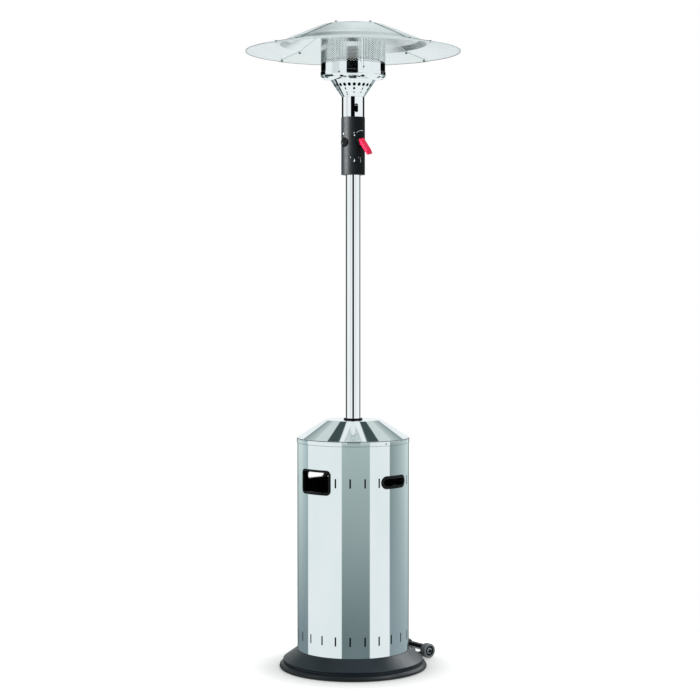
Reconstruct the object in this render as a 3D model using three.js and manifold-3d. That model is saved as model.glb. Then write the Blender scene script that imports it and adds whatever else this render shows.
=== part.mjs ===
// Gas patio heater: weighted base on two wheels, bottle housing that lifts up the pole, control head with
// a turning lever and an ignition button, burner with its emitter screen, and a four-panel reflector.
// Millimetres, +Z up. The origin lies on the floor on the pole's axis, and the front faces -Y.
// Azimuths are in degrees from the front, towards +X. A piece built "outward" has its axis along -Y.
import * as THREE from 'three';
import { mergeVertices } from 'three/addons/utils/BufferGeometryUtils.js';
import Module from 'manifold-3d';

const wasm = await Module();
wasm.setup();

// Clearances and facet counts that all sub-parts share
const gap = 0.3; // between pieces that touch
const slideGap = 0.5; // around a piece that slides or turns in another
const overrun = 5; // how far a cutter runs past the faces it cuts
const facets = { large: 40, burner: 32, tube: 24, pole: 18, rod: 10, hole: 6, crease: 2 };
const arcSteps = { corner: 2, pipe: 4 }; // three.js draws twice as many sides along an arc
const bendSteps = 8;

// Base: lower edge ring, ballast plate and the pan with the bottle deck
const base = {
  radius: 251,
  height: 63,
  wall: 2.5,
  creaseHeight: 28,
  creaseRound: 4,
  creaseOverhang: 5.2,
  deckLand: 2, // deck outside the housing
  upstandHeight: 8,
  upstandWall: 2.3,
};
const edge = { height: 18, bead: 15.9, seat: 6.5, skirtSeatHeight: 15.5, plateSeatHeight: 2.7, plateLedge: 6.4 };
const beadShares = [[0.91, 0], [1, 0.19], [0.96, 0.44], [0.69, 0.72], [0.25, 0.94], [0, 1]];
const ballast = { thickness: 10 };

// Bottle housing: rolled sheet with vent slots, closing strip, lid, band and collar
const housing = { radius: 190, wall: 1.2, height: 711.7 };
const slots = { width: 5, height: 30, count: 24, phase: -3, lowerCentre: 58.7, margin: 1.5 };
const openings = { drop: 131.5, flange: 1.8 }; // centre line of the window and grips, below the sheet's top
const valveWindow = { azimuth: -43, width: 130, height: 83.5, corner: 16, frame: 8, depth: 8 };
const grip = { azimuth: 47, width: 116, height: 43.5, corner: 21.7, frame: 10, depth: 16 };
const strip = { azimuth: 97, width: 24, wall: 1.5, footGap: 16.7, slit: 0.8 };
const stripScrews = { count: 4, radius: 2.5, headRadius: 4.5, head: 1.8, first: 23.7, last: 70 };
const lid = { riseAboveSheet: 6, wall: 1.2, topRadius: 95, rise: 60, skirt: 21, hole: 29 };
const band = { height: 16, wall: 1.3, jointAzimuth: 40.6, joint: 0.6 };
const bandScrew = { azimuth: 34.8, radius: 2.6, head: 1.4 };
const collar = { flangeRadius: 32, flange: 4.7, depth: 14 };

// Supports inside the housing
const post = { radius: 9, wallGap: 4.8, studRadius: 4, nutRadius: 7, nutHeight: 6 };
const posts = [{ side: 'left', azimuth: -80 }, { side: 'right', azimuth: 80 }, { side: 'rear', azimuth: 180 }];
const bracket = { headroom: 28, thickness: 3, discRadius: 60, armWidth: 30, armLip: 2, inletHole: 12 };
const socket = { flangeRadius: 45, flange: 4, wall: 3, height: 44 };
const socketBolts = { count: 3, circle: 37, radius: 4, head: 3 };
const inlet = { nutRadius: 15, nut: 4, above: 8, below: 39, nippleRadius: 6 };

// Wheels on their bracket behind the base
const wheels = { azimuth: 127, offset: 29, axleHeight: 27, halfTrack: 60 };
const tyre = { radius: 25, width: 25, wall: 8, shoulder: 6 };
const hub = { width: 22 };
const axle = { radius: 4, headRadius: 6.2, head: 3, endPlay: 1 };
const arm = { centre: 33, width: 22, thickness: 5, inside: 150, beyondAxle: 12 };
const cheek = { centre: 44, thickness: 4, depth: 24, height: 46 };
const crossBar = { depth: 16, height: 11, low: 33 };

// Pole and gas pipe
const pole = { radius: 25.25, wall: 1.5, exposed: 827, insert: 32 };
const pipe = { radius: 5, straightInHead: 30 };

// Control head
const tube = { radius: 38.7, wall: 1.5, height: 263 };
const port = { azimuth: 17, drop: 39, width: 12, height: 30 }; // drops are below the tube's top
const cover = { wall: 1.3, drop: 68 };
const adapter = { height: 26 };
const control = { azimuth: 36, height: 112, travel: 3, pressGap: 0.6 };
const valve = { near: 12, far: 34, width: 26, height: 56, bore: 5 };
const spindle = { radius: 4, seatedIn: 15 };
const sleeve = { radius: 8, valveGap: 0.6 };
const knob = { radius: 15.5, depth: 6.5, slotDepth: 3.5 };
const lever = { width: 20, thickness: 10, length: 55, tilt: 35, turn: 12, rootAbove: 9, rootBelow: 12, proud: 1.6 };
const button = { azimuth: -48, height: 109, radius: 12.2, length: 13.1, proud: 1.5 };
const bezel = { radius: 16.4, proud: 1.3, length: 8.6 };
const igniter = { radius: 9, length: 30.3, cupWall: 2.7, cupRadius: 15.6, cupDepth: 8.4 };
const tiltSwitch = { width: 20, depth: 14, height: 28, drop: 75 };
const feed = { radius: 4 };
const jetBracket = { drop: 31, thickness: 2 };
const jet = { radius: 7, below: 4, flangeRadius: 10, flange: 4, body: 12, tipRadius: 3.5, tip: 8 };

// Burner
const cone = { topRadius: 85, rise: 69, wall: 1.5, collar: 12, neck: 3 };
const coneHoles = {
  upper: { count: 24, radius: 5, height: 38 },
  lower: { count: 12, radius: 3.4, height: 25 },
};
const coneHolePhase = 3.5;
const screen = { radius: 109.5, wall: 1, height: 142 };
const pan = { rim: 14, wall: 1 };
const panHoles = { count: 9, radius: 8.5, circle: 98, phase: 18 };
const mixer = { radius: 15.5, wall: 1.5, below: 59, above: 25, flangeRadius: 24, flange: 2 };
const head = { radius: 60, height: 20, wall: 1.5, hole: 14 };
const cap = { thickness: 1.2, flange: 8, wall: 1.2 };
const pilot = { azimuth: 158, circle: 78, width: 20, depth: 16, height: 56, wall: 1.5, sensorRadius: 2.5, sensor: 30 };
const electrode = { azimuth: 178, circle: 78, radius: 4, height: 28, tipRadius: 1, tip: 12 };

// Reflector
const reflector = {
  hole: 40,
  crownRadius: 109,
  shoulderRadius: 225,
  shoulderDrop: 47.5,
  foldRadius: 250,
  foldDrop: 62,
  rimRadius: 365,
  rimDrop: 86,
  sheet: 1,
  overlap: 8, // each panel beyond the seam's middle
};
const seamScrews = { radius: 2, headRadius: 4, head: 1.6, rimInset: 10, foldInset: 14 };
const crownDisc = { radius: 100, thickness: 1 };
const standoff = { radius: 6, height: 24.3, circle: 81.3, studRadius: 3, nutRadius: 6.5, nut: 10 };
const seamAzimuths = [45, 135, 225, 315];

// Radii that follow from the sizes above
const skirtRadius = base.radius - edge.bead - gap;
const plateRadius = base.radius - edge.bead - edge.seat - gap;
const sheetInside = housing.radius - housing.wall;
const postCircle = sheetInside - post.wallGap - post.radius;
const bandRadius = housing.radius + gap + band.wall;
const tubeInside = tube.radius - tube.wall;
const tubeFit = tubeInside * Math.cos(Math.PI / facets.tube) - gap;
const coverRadius = tube.radius + gap + cover.wall;
const sleeveBore = spindle.radius + gap;
const knobBack = coverRadius + control.travel + control.pressGap;
const buttonBore = button.radius + slideGap;
const screenInside = screen.radius - screen.wall;

// Heights that follow, from the floor up
const plateTop = edge.plateSeatHeight + gap + ballast.thickness;
const sheetBottom = base.height + gap;
const sheetTop = sheetBottom + housing.height;
const openingHeight = sheetTop - openings.drop;
const lidBase = sheetTop + lid.riseAboveSheet;
const lidTop = lidBase + lid.rise;
const bracketTop = sheetTop - bracket.headroom;
const bracketBottom = bracketTop - bracket.thickness;
const headBottom = lidTop + gap + collar.flange + pole.exposed;
const tubeTop = headBottom + tube.height;
const panLow = cone.rise + gap; // the next ones are above the control tube
const panFloor = panLow + pan.wall;
const screenLow = panFloor + gap;
const capLow = screenLow + screen.height + gap;
const standoffLow = capLow + cap.thickness + gap;
const crownLow = standoffLow + standoff.height + gap;

// Materials
const paint = (name, color, roughness, metalness) =>
  new THREE.MeshStandardMaterial({ name, color, roughness, metalness, flatShading: true });
const materials = {
  basePaint: paint('base_paint', 0x30383c, 0.45, 0.3),
  edgePlastic: paint('edge_plastic', 0x15181a, 0.5, 0),
  stainless: paint('stainless', 0xc9d2d4, 0.15, 1),
  chrome: paint('chrome', 0xe6eaea, 0.06, 1),
  zinc: paint('zinc_steel', 0x9aa0a2, 0.4, 1),
  castIron: paint('cast_iron', 0x3b3d3f, 0.7, 0.8),
  black: paint('black_plastic', 0x0b0c0d, 0.4, 0),
  rubber: paint('rubber', 0x1a1c1e, 0.8, 0),
  hubPlastic: paint('hub_plastic', 0x6c7376, 0.5, 0),
  red: paint('red_plastic', 0xd8102a, 0.25, 0),
  brass: paint('brass', 0xb08d4a, 0.35, 1),
  aluminium: paint('aluminium', 0xd5dcdb, 0.35, 1),
  ceramic: paint('ceramic', 0xece8dd, 0.4, 0),
};

// A closed three.js geometry as a solid that can be joined and cut
function toSolid(geometry) {
  const bare = new THREE.BufferGeometry();
  bare.setAttribute('position', geometry.getAttribute('position'));
  bare.setIndex(geometry.getIndex());
  const welded = mergeVertices(bare);
  const vertProperties = welded.getAttribute('position').array;
  const corners = Array.from(welded.getIndex().array);
  const triVerts = [];
  let volume = 0;
  for (let i = 0; i < corners.length; i += 3) {
    const [a, b, c] = corners.slice(i, i + 3);
    if (a !== b && b !== c && c !== a) {
      const [p, q, r] = [a, b, c].map((k) => new THREE.Vector3().fromArray(vertProperties, 3 * k));
      volume += p.dot(q.cross(r));
      triVerts.push(a, b, c);
    }
  }
  if (volume < 0) {
    triVerts.reverse();
  }
  const mesh = new wasm.Mesh({ numProp: 3, vertProperties, triVerts: new Uint32Array(triVerts) });
  return new wasm.Manifold(mesh);
}

function toGeometry(solid) {
  const mesh = solid.getMesh();
  const geometry = new THREE.BufferGeometry();
  geometry.setAttribute('position', new THREE.BufferAttribute(mesh.vertProperties, 3));
  geometry.setIndex(new THREE.BufferAttribute(mesh.triVerts, 1));
  return geometry;
}

const join = (...pieces) => toGeometry(pieces.map(toSolid).reduce((a, b) => a.add(b)));
const cut = (piece, ...tools) => toGeometry(tools.map(toSolid).reduce((a, b) => a.subtract(b), toSolid(piece)));
const common = (a, b) => toGeometry(toSolid(a).intersect(toSolid(b)));

// Shapes turned about the upright axis, or about an outward one
const loopOf = (profile) => [...profile, profile[0]].map(([radius, along]) => new THREE.Vector2(radius, along));
const revolve = (profile, count) => new THREE.LatheGeometry(loopOf(profile), count).rotateX(Math.PI / 2);
const revolveOutward = (profile, count) => new THREE.LatheGeometry(loopOf(profile), count).rotateZ(Math.PI);
const ring = (inner, outer, low, high) => [[inner, low], [outer, low], [outer, high], [inner, high]];
const disc = (radius, low, high) => ring(0, radius, low, high);

// Blocks and rods between stated limits
const radians = THREE.MathUtils.degToRad;
const turned = (geometry, azimuth) => geometry.rotateZ(radians(azimuth));
const block = (width, near, far, low, high) =>
  new THREE.BoxGeometry(width, far - near, high - low).translate(0, -(near + far) / 2, (low + high) / 2);
const rod = (radius, low, high, count) =>
  new THREE.CylinderGeometry(radius, radius, high - low, count).rotateX(Math.PI / 2).translate(0, 0, (low + high) / 2);
const outwardRod = (radius, near, far, height, count) =>
  new THREE.CylinderGeometry(radius, radius, far - near, count).translate(0, -(near + far) / 2, height);

// A flat outline in the front's upright plane, pushed outward from the axis
function outwardPrism(shape, far) {
  const settings = { depth: far, bevelEnabled: false, curveSegments: arcSteps.corner };
  return new THREE.ExtrudeGeometry(shape, settings).rotateX(Math.PI / 2);
}

function roundedRectangle(width, height, corner, centreHeight) {
  const across = width / 2 - corner;
  const up = height / 2 - corner;
  const shape = new THREE.Shape();
  shape.absarc(across, centreHeight + up, corner, 0, Math.PI / 2, false);
  shape.absarc(-across, centreHeight + up, corner, Math.PI / 2, Math.PI, false);
  shape.absarc(-across, centreHeight - up, corner, Math.PI, 1.5 * Math.PI, false);
  shape.absarc(across, centreHeight - up, corner, 1.5 * Math.PI, 2 * Math.PI, false);
  return shape;
}

// The part of a round wall that lies behind an outline
function wrapped(shape, inner, outer, azimuth) {
  const wall = revolve(ring(inner, outer, sheetBottom, sheetTop), facets.large);
  return common(wall, turned(outwardPrism(shape, outer + overrun), azimuth));
}

function arc(centreRadius, centreHeight, radius, from, to, steps) {
  return Array.from({ length: steps + 1 }, (_, i) => {
    const angle = from + ((to - from) * i) / steps;
    return [centreRadius + radius * Math.cos(angle), centreHeight + radius * Math.sin(angle)];
  });
}

const assembly = new THREE.Group();

function add(group, name, geometry, material) {
  const mesh = new THREE.Mesh(toGeometry(toSolid(geometry)), material);
  mesh.name = name;
  group.add(mesh);
  return mesh;
}

function subgroup(parent, place) {
  const group = new THREE.Group();
  group.position.set(0, 0, place.height ?? 0);
  group.rotation.z = radians(place.azimuth ?? 0);
  parent.add(group);
  return group;
}

// The two flat arms of the wheel bracket, or the notches that let them through
function wheelArms(clearance) {
  const low = plateTop + gap - clearance;
  const high = plateTop + gap + arm.thickness + clearance;
  const far = base.radius + wheels.offset + arm.beyondAxle + clearance;
  const width = arm.width + 2 * clearance;
  return [-1, 1].map((side) =>
    turned(block(width, arm.inside, far, low, high).translate(side * arm.centre, 0, 0), wheels.azimuth));
}

function edgeRing() {
  const beadFoot = base.radius - edge.bead;
  const bead = beadShares.map(([across, up]) => [beadFoot + across * edge.bead, up * edge.height]);
  const seatInside = beadFoot - edge.seat;
  const ledgeInside = seatInside - edge.plateLedge;
  return revolve([
    [ledgeInside, 0],
    ...bead,
    [beadFoot, edge.skirtSeatHeight],
    [seatInside, edge.skirtSeatHeight],
    [seatInside, edge.plateSeatHeight],
    [ledgeInside, edge.plateSeatHeight],
  ], facets.large);
}

// Deck, cone, rounded crease and skirt, as one drawn sheet
function basePan() {
  const landRadius = housing.radius + base.deckLand;
  const upstandOutside = sheetInside - slideGap - gap;
  const upstandInside = upstandOutside - base.upstandWall;
  const creaseCentre = skirtRadius + base.creaseOverhang - base.creaseRound;
  const across = landRadius - creaseCentre;
  const rise = base.height - base.creaseHeight;
  const normal = Math.atan2(rise, across) - Math.acos(base.creaseRound / Math.hypot(rise, across));
  const crease = arc(creaseCentre, base.creaseHeight, base.creaseRound, normal, radians(-45), facets.crease);
  const [creaseEnd, creaseEndHeight] = crease.at(-1);
  const inside = skirtRadius - base.wall;
  const inset = base.creaseRound - base.wall;
  const insideTop = base.creaseHeight + (inset - (inside - creaseCentre) * Math.cos(normal)) / Math.sin(normal);
  const deckUnder = base.height - base.wall;
  const deckRise = deckUnder - base.creaseHeight;
  const deckCorner = creaseCentre + (inset - deckRise * Math.sin(normal)) / Math.cos(normal);
  const foot = edge.skirtSeatHeight + gap;
  return revolve([
    [0, base.height],
    [upstandInside, base.height],
    [upstandInside, base.height + base.upstandHeight],
    [upstandOutside, base.height + base.upstandHeight],
    [upstandOutside, base.height],
    [landRadius, base.height],
    ...crease,
    [skirtRadius, creaseEndHeight - (creaseEnd - skirtRadius)],
    [skirtRadius, foot],
    [inside, foot],
    [inside, insideTop],
    [deckCorner, deckUnder],
    [0, deckUnder],
  ], facets.large);
}

function supportPost() {
  const top = bracketBottom - gap;
  const nutLow = bracketTop + gap;
  const nutHigh = nutLow + post.nutHeight;
  return revolve([
    [0, plateTop + gap],
    [post.radius, plateTop + gap],
    [post.radius, top],
    [post.studRadius, top],
    [post.studRadius, nutLow],
    [post.nutRadius, nutLow],
    [post.nutRadius, nutHigh],
    [0, nutHigh],
  ], facets.rod);
}

const atPost = (geometry, azimuth) => turned(geometry.translate(0, -postCircle, 0), azimuth);

function poleBracket() {
  const armEnd = postCircle + post.radius + bracket.armLip;
  const arms = posts.map(({ azimuth }) =>
    turned(block(bracket.armWidth, 0, armEnd, bracketBottom, bracketTop), azimuth));
  const holes = posts.map(({ azimuth }) =>
    atPost(rod(post.studRadius + gap, bracketBottom - overrun, bracketTop + overrun, facets.rod), azimuth));
  const plate = revolve(disc(bracket.discRadius, bracketBottom, bracketTop), facets.tube);
  const inletHole = rod(bracket.inletHole, bracketBottom - overrun, bracketTop + overrun, facets.rod);
  return cut(join(plate, ...arms), ...holes, inletHole);
}

function poleSocket() {
  const bore = pole.radius + gap;
  const flangeTop = bracketTop + gap + socket.flange;
  const body = revolve([
    [bore, bracketTop + gap],
    [socket.flangeRadius, bracketTop + gap],
    [socket.flangeRadius, flangeTop],
    [bore + socket.wall, flangeTop],
    [bore + socket.wall, bracketTop + gap + socket.height],
    [bore, bracketTop + gap + socket.height],
  ], facets.pole);
  const bolts = Array.from({ length: socketBolts.count }, (_, i) =>
    turned(
      rod(socketBolts.radius, bracketTop + gap, flangeTop + socketBolts.head, facets.hole)
        .translate(0, -socketBolts.circle, 0),
      (360 * i) / socketBolts.count,
    ));
  return join(body, ...bolts);
}

function gasInlet() {
  const nutTop = bracketBottom - gap;
  const shank = bracket.inletHole - gap;
  return revolve([
    [0, bracketTop + inlet.above],
    [shank, bracketTop + inlet.above],
    [shank, nutTop],
    [inlet.nutRadius, nutTop],
    [inlet.nutRadius, nutTop - inlet.nut],
    [inlet.nippleRadius, nutTop - inlet.nut],
    [inlet.nippleRadius, nutTop - inlet.below],
    [0, nutTop - inlet.below],
  ], facets.rod);
}

function buildBase() {
  const group = subgroup(assembly, {});
  const notches = wheelArms(gap);
  const postHoles = posts.map(({ azimuth }) =>
    atPost(rod(post.radius + gap, base.height - base.wall - overrun, base.height + overrun, facets.rod), azimuth));
  add(group, 'base_edge_ring', cut(edgeRing(), ...notches), materials.edgePlastic);
  const plateLow = edge.plateSeatHeight + gap;
  add(group, 'ballast_plate', revolve(disc(plateRadius, plateLow, plateTop), facets.large), materials.castIron);
  add(group, 'base_pan', cut(basePan(), ...postHoles, ...notches), materials.basePaint);
  for (const { side, azimuth } of posts) {
    add(group, `support_post_${side}`, atPost(supportPost(), azimuth), materials.zinc);
  }
  add(group, 'pole_bracket', poleBracket(), materials.zinc);
  add(group, 'pole_socket', poleSocket(), materials.zinc);
  add(group, 'gas_inlet', gasInlet(), materials.brass);
}

function wheelBracket() {
  const axleAt = base.radius + wheels.offset;
  const low = plateTop + gap;
  const near = axleAt - cheek.depth / 2;
  const far = axleAt + cheek.depth / 2;
  const flats = [-1, 1].map((side) =>
    block(arm.width, arm.inside, axleAt + arm.beyondAxle, low, low + arm.thickness)
      .translate(side * arm.centre, 0, 0));
  const cheeks = [-1, 1].map((side) =>
    block(cheek.thickness, near, far, low, cheek.height).translate(side * cheek.centre, 0, 0));
  const span = 2 * cheek.centre + cheek.thickness;
  const barNear = axleAt - crossBar.depth / 2;
  const bar = block(span, barNear, barNear + crossBar.depth, crossBar.low, crossBar.low + crossBar.height);
  const boreRadius = axle.radius + gap;
  const bore = rod(boreRadius, -span / 2 - overrun, span / 2 + overrun, facets.rod)
    .rotateY(Math.PI / 2).translate(0, -axleAt, wheels.axleHeight);
  return cut(join(...flats, ...cheeks, bar), bore);
}

function wheelAxle() {
  const headLow = wheels.halfTrack + tyre.width / 2 + axle.endPlay;
  const headHigh = headLow + axle.head;
  const half = [[axle.headRadius, headLow], [axle.headRadius, headHigh], [0, headHigh]];
  const profile = [
    [axle.radius, headLow],
    ...half,
    [0, -headHigh],
    [axle.headRadius, -headHigh],
    [axle.headRadius, -headLow],
    [axle.radius, -headLow],
  ];
  return revolve(profile, facets.rod).rotateY(Math.PI / 2);
}

function tyreBody() {
  const half = tyre.width / 2;
  const inner = tyre.radius - tyre.wall;
  const crown = arc(tyre.radius - tyre.shoulder, half - tyre.shoulder, tyre.shoulder, Math.PI / 2, 0, facets.crease);
  const upper = crown.map(([radius, along]) => [radius, along]);
  const lower = upper.map(([radius, along]) => [radius, -along]).reverse();
  return revolve([[inner, half], ...upper, ...lower, [inner, -half]], facets.pole).rotateY(Math.PI / 2);
}

function hubBody() {
  const outer = tyre.radius - tyre.wall - gap;
  const bore = axle.radius + gap + gap / 2;
  return revolve(ring(bore, outer, -hub.width / 2, hub.width / 2), facets.pole).rotateY(Math.PI / 2);
}

function buildWheels() {
  const group = subgroup(assembly, { azimuth: wheels.azimuth });
  const axleAt = base.radius + wheels.offset;
  add(group, 'wheel_bracket', wheelBracket(), materials.edgePlastic);
  add(group, 'wheel_axle', wheelAxle(), materials.zinc).position.set(0, -axleAt, wheels.axleHeight);
  for (const [name, side] of [['near', -1], ['far', 1]]) {
    const place = [side * wheels.halfTrack, -axleAt, wheels.axleHeight];
    add(group, `wheel_tyre_${name}`, tyreBody(), materials.rubber).position.set(...place);
    add(group, `wheel_hub_${name}`, hubBody(), materials.hubPlastic).position.set(...place);
  }
}

// Openings of the housing, each with the azimuth it faces
const housingOpenings = [
  { name: 'window_trim', size: valveWindow, azimuth: valveWindow.azimuth },
  { name: 'grip_right', size: grip, azimuth: grip.azimuth },
  { name: 'grip_left', size: grip, azimuth: grip.azimuth - 180 },
];

// An opening's outline, brought in from the trim's outer edge
function openingOutline(size, inset) {
  const corner = Math.min(size.corner, size.height / 2) - inset;
  return roundedRectangle(size.width - 2 * inset, size.height - 2 * inset, corner, openingHeight);
}

function isClearOfOpenings(azimuth) {
  return housingOpenings.every(({ size, azimuth: centre }) => {
    const away = Math.abs(THREE.MathUtils.euclideanModulo(azimuth - centre + 180, 360) - 180);
    const half = THREE.MathUtils.radToDeg(Math.asin(size.width / 2 / housing.radius));
    return away > half + slots.margin;
  });
}

function ventSlots() {
  const all = Array.from({ length: slots.count }, (_, i) => slots.phase + (360 * i) / slots.count);
  const slotAt = (azimuth, centre) => {
    const low = centre - slots.height / 2;
    const near = sheetInside - overrun;
    return turned(block(slots.width, near, housing.radius + overrun, low, low + slots.height), azimuth);
  };
  return [
    ...all.map((azimuth) => slotAt(azimuth, sheetBottom + slots.lowerCentre)),
    ...all.filter(isClearOfOpenings).map((azimuth) => slotAt(azimuth, openingHeight)),
  ];
}

const stripScrewPitch = (housing.height - stripScrews.first - stripScrews.last) / (stripScrews.count - 1);
const stripScrewHeights = Array.from({ length: stripScrews.count }, (_, i) =>
  sheetBottom + stripScrews.first + i * stripScrewPitch);

function housingShell() {
  const sheet = revolve(ring(sheetInside, housing.radius, sheetBottom, sheetTop), facets.large);
  const windows = housingOpenings.map(({ size, azimuth }) =>
    turned(outwardPrism(openingOutline(size, size.frame / 2 - gap), housing.radius + overrun), azimuth));
  const near = sheetInside - overrun;
  const far = housing.radius + overrun;
  const slit = turned(block(strip.slit, near, far, sheetBottom - overrun, sheetTop + overrun), strip.azimuth);
  const screwHoles = stripScrewHeights.map((height) =>
    turned(outwardRod(stripScrews.radius + gap, near, far, height, facets.hole), strip.azimuth));
  return cut(sheet, ...windows, ...ventSlots(), slit, ...screwHoles);
}

// Inside strip that closes the rolled sheet, with its screws
function closingStrip() {
  const outer = sheetInside - gap;
  const low = sheetBottom + strip.footGap;
  const high = lidBase - lid.skirt - slideGap;
  const wall = revolve(ring(outer - strip.wall, outer, low, high), facets.large);
  const mask = turned(block(strip.width, 0, housing.radius, low, high), strip.azimuth);
  const headNear = housing.radius + gap;
  const screws = stripScrewHeights.flatMap((height) => [
    turned(outwardRod(stripScrews.radius, outer - strip.wall, headNear + gap, height, facets.hole), strip.azimuth),
    turned(outwardRod(stripScrews.headRadius, headNear, headNear + stripScrews.head, height, facets.hole),
      strip.azimuth),
  ]);
  return join(common(wall, mask), ...screws);
}

function trim({ size, azimuth }) {
  const back = housing.radius + gap;
  const front = back + openings.flange;
  const flange = wrapped(openingOutline(size, 0), back, front, azimuth);
  const lining = wrapped(openingOutline(size, size.frame / 2), sheetInside - size.depth, front, azimuth);
  const hole = turned(outwardPrism(openingOutline(size, size.frame), front + overrun), azimuth);
  return cut(join(flange, lining), hole);
}

function lidCone() {
  const slope = (lid.rise - lid.wall) / (housing.radius - lid.topRadius);
  const drop = lid.wall * Math.hypot(1, slope);
  const coneHeight = (radius) => lidBase + lid.wall + (housing.radius - radius) * slope;
  const skirtOutside = sheetInside - gap;
  const skirtInside = skirtOutside - lid.wall;
  const innerCorner = lid.topRadius - (drop - lid.wall) / slope;
  return revolve([
    [lid.hole, lidTop],
    [lid.topRadius, lidTop],
    [housing.radius, lidBase + lid.wall],
    [bandRadius, lidBase + lid.wall],
    [bandRadius, lidBase],
    [skirtOutside, lidBase],
    [skirtOutside, lidBase - lid.skirt],
    [skirtInside, lidBase - lid.skirt],
    [skirtInside, coneHeight(skirtInside) - drop],
    [innerCorner, lidTop - lid.wall],
    [lid.hole, lidTop - lid.wall],
  ], facets.large);
}

function lidBand() {
  const high = lidBase - gap;
  const low = high - band.height;
  const hoop = revolve(ring(housing.radius + gap, bandRadius, low, high), facets.large);
  const joint = turned(block(band.joint, housing.radius - overrun, bandRadius + overrun, low - overrun, high + overrun),
    band.jointAzimuth);
  const middle = (low + high) / 2;
  const screw = turned(
    outwardRod(bandScrew.radius, housing.radius + gap + band.wall / 2, bandRadius + bandScrew.head, middle, facets.rod),
    bandScrew.azimuth);
  return join(cut(hoop, joint), screw);
}

function poleCollar() {
  const bore = pole.radius + slideGap;
  const flangeLow = lidTop + gap;
  const flangeTop = flangeLow + collar.flange;
  const lining = lid.hole - gap;
  const foot = flangeLow - collar.depth;
  return revolve([
    [bore, foot],
    [lining, foot],
    [lining, flangeLow],
    [collar.flangeRadius, flangeLow],
    [collar.flangeRadius, flangeTop],
    [bore, flangeTop],
  ], facets.pole);
}

function buildHousing() {
  const group = subgroup(assembly, {});
  add(group, 'housing_shell', housingShell(), materials.stainless);
  add(group, 'closing_strip', closingStrip(), materials.zinc);
  for (const opening of housingOpenings) {
    add(group, opening.name, trim(opening), materials.black);
  }
  add(group, 'lid_cone', lidCone(), materials.stainless);
  add(group, 'lid_band', lidBand(), materials.stainless);
  add(group, 'pole_collar', poleCollar(), materials.black);
}

// A rod along a curve that leaves and arrives upright
function bentRod(from, to, radius) {
  const reach = (to.z - from.z) / 2;
  const lift = new THREE.Vector3(0, 0, reach);
  const path = new THREE.CubicBezierCurve3(from, from.clone().add(lift), to.clone().sub(lift), to);
  const section = new THREE.Shape();
  section.absarc(0, 0, radius, 0, 2 * Math.PI, false);
  const settings = { steps: bendSteps, extrudePath: path, bevelEnabled: false, curveSegments: arcSteps.pipe };
  return new THREE.ExtrudeGeometry(section, settings);
}

// Where the valve's ports are, in the control head
const valvePort = (height) =>
  new THREE.Vector3(0, -(valve.near + valve.far) / 2, height)
    .applyAxisAngle(new THREE.Vector3(0, 0, 1), radians(control.azimuth));
const valveLow = control.height - valve.height / 2;
const valveTop = valveLow + valve.height;

function gasPipe() {
  const bottom = bracketTop + inlet.above + gap - headBottom;
  const bend = bentRod(new THREE.Vector3(0, 0, pipe.straightInHead), valvePort(valveLow - gap), pipe.radius);
  const straight = rod(pipe.radius, bottom, pipe.straightInHead + gap, facets.rod);
  return join(straight, bend);
}

function controlTube() {
  const body = revolve(ring(tubeInside, tube.radius, 0, tube.height), facets.tube);
  const near = tubeInside / 2;
  const far = tube.radius + overrun;
  const portShape = roundedRectangle(port.width, port.height, port.width / 2, tube.height - port.drop);
  return cut(
    body,
    turned(outwardPrism(portShape, far), port.azimuth),
    turned(outwardRod(sleeve.radius + slideGap, near, far, control.height, facets.rod), control.azimuth),
    turned(outwardRod(bezel.radius + gap, near, far, button.height, facets.pole), button.azimuth),
  );
}

function controlCover() {
  const far = coverRadius + overrun;
  return cut(
    revolve(ring(tube.radius + gap, coverRadius, 0, tube.height - cover.drop), facets.tube),
    turned(outwardRod(sleeve.radius + slideGap, 0, far, control.height, facets.rod), control.azimuth),
    turned(outwardRod(bezel.radius + gap, 0, far, button.height, facets.pole), button.azimuth),
  );
}

const poleAdapter = () => revolve(ring(pole.radius + gap, tubeFit, 0, adapter.height), facets.tube);

function gasValve() {
  const boreNear = valve.near + valve.bore;
  return cut(
    block(valve.width, valve.near, valve.far, valveLow, valveTop),
    outwardRod(sleeveBore, boreNear - slideGap - control.travel, valve.far + overrun, control.height, facets.rod),
  );
}

// Push-and-turn spindle, the sleeve it turns in, its round base and the lever
function buildControl(parent) {
  const group = subgroup(parent, { azimuth: control.azimuth });
  add(group, 'gas_valve', gasValve(), materials.brass);
  const sleeveNear = valve.far + control.travel + sleeve.valveGap;
  const sleeveProfile = ring(sleeveBore, sleeve.radius, sleeveNear, knobBack - gap);
  add(group, 'press_sleeve', revolveOutward(sleeveProfile, facets.rod), materials.black)
    .position.z = control.height;

  const turning = subgroup(group, { height: control.height });
  turning.rotation.y = radians(-lever.turn);
  const slotFloor = knobBack + knob.depth - knob.slotDepth;
  const spindleNear = valve.near + valve.bore + gap;
  add(turning, 'valve_spindle', outwardRod(spindle.radius, spindleNear, slotFloor, 0, facets.rod), materials.brass);
  const knobFront = knobBack + knob.depth;
  const slot = block(lever.width + 2 * gap, slotFloor, knobFront + overrun, -knob.radius - overrun,
    lever.rootAbove + gap);
  const knobBody = revolveOutward(ring(sleeveBore, knob.radius, knobBack, knobFront), facets.pole);
  add(turning, 'lever_hub', cut(knobBody, slot), materials.black);
  const rootNear = slotFloor + gap;
  const rootFar = knobFront + lever.proud;
  const root = block(lever.width, rootNear, rootFar, -lever.rootBelow, lever.rootAbove);
  const bar = block(lever.width, -lever.thickness / 2, lever.thickness / 2, -lever.length, 0)
    .rotateX(radians(-lever.tilt)).translate(0, -rootFar, 0);
  add(turning, 'control_lever', join(root, bar), materials.red);
}

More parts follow.
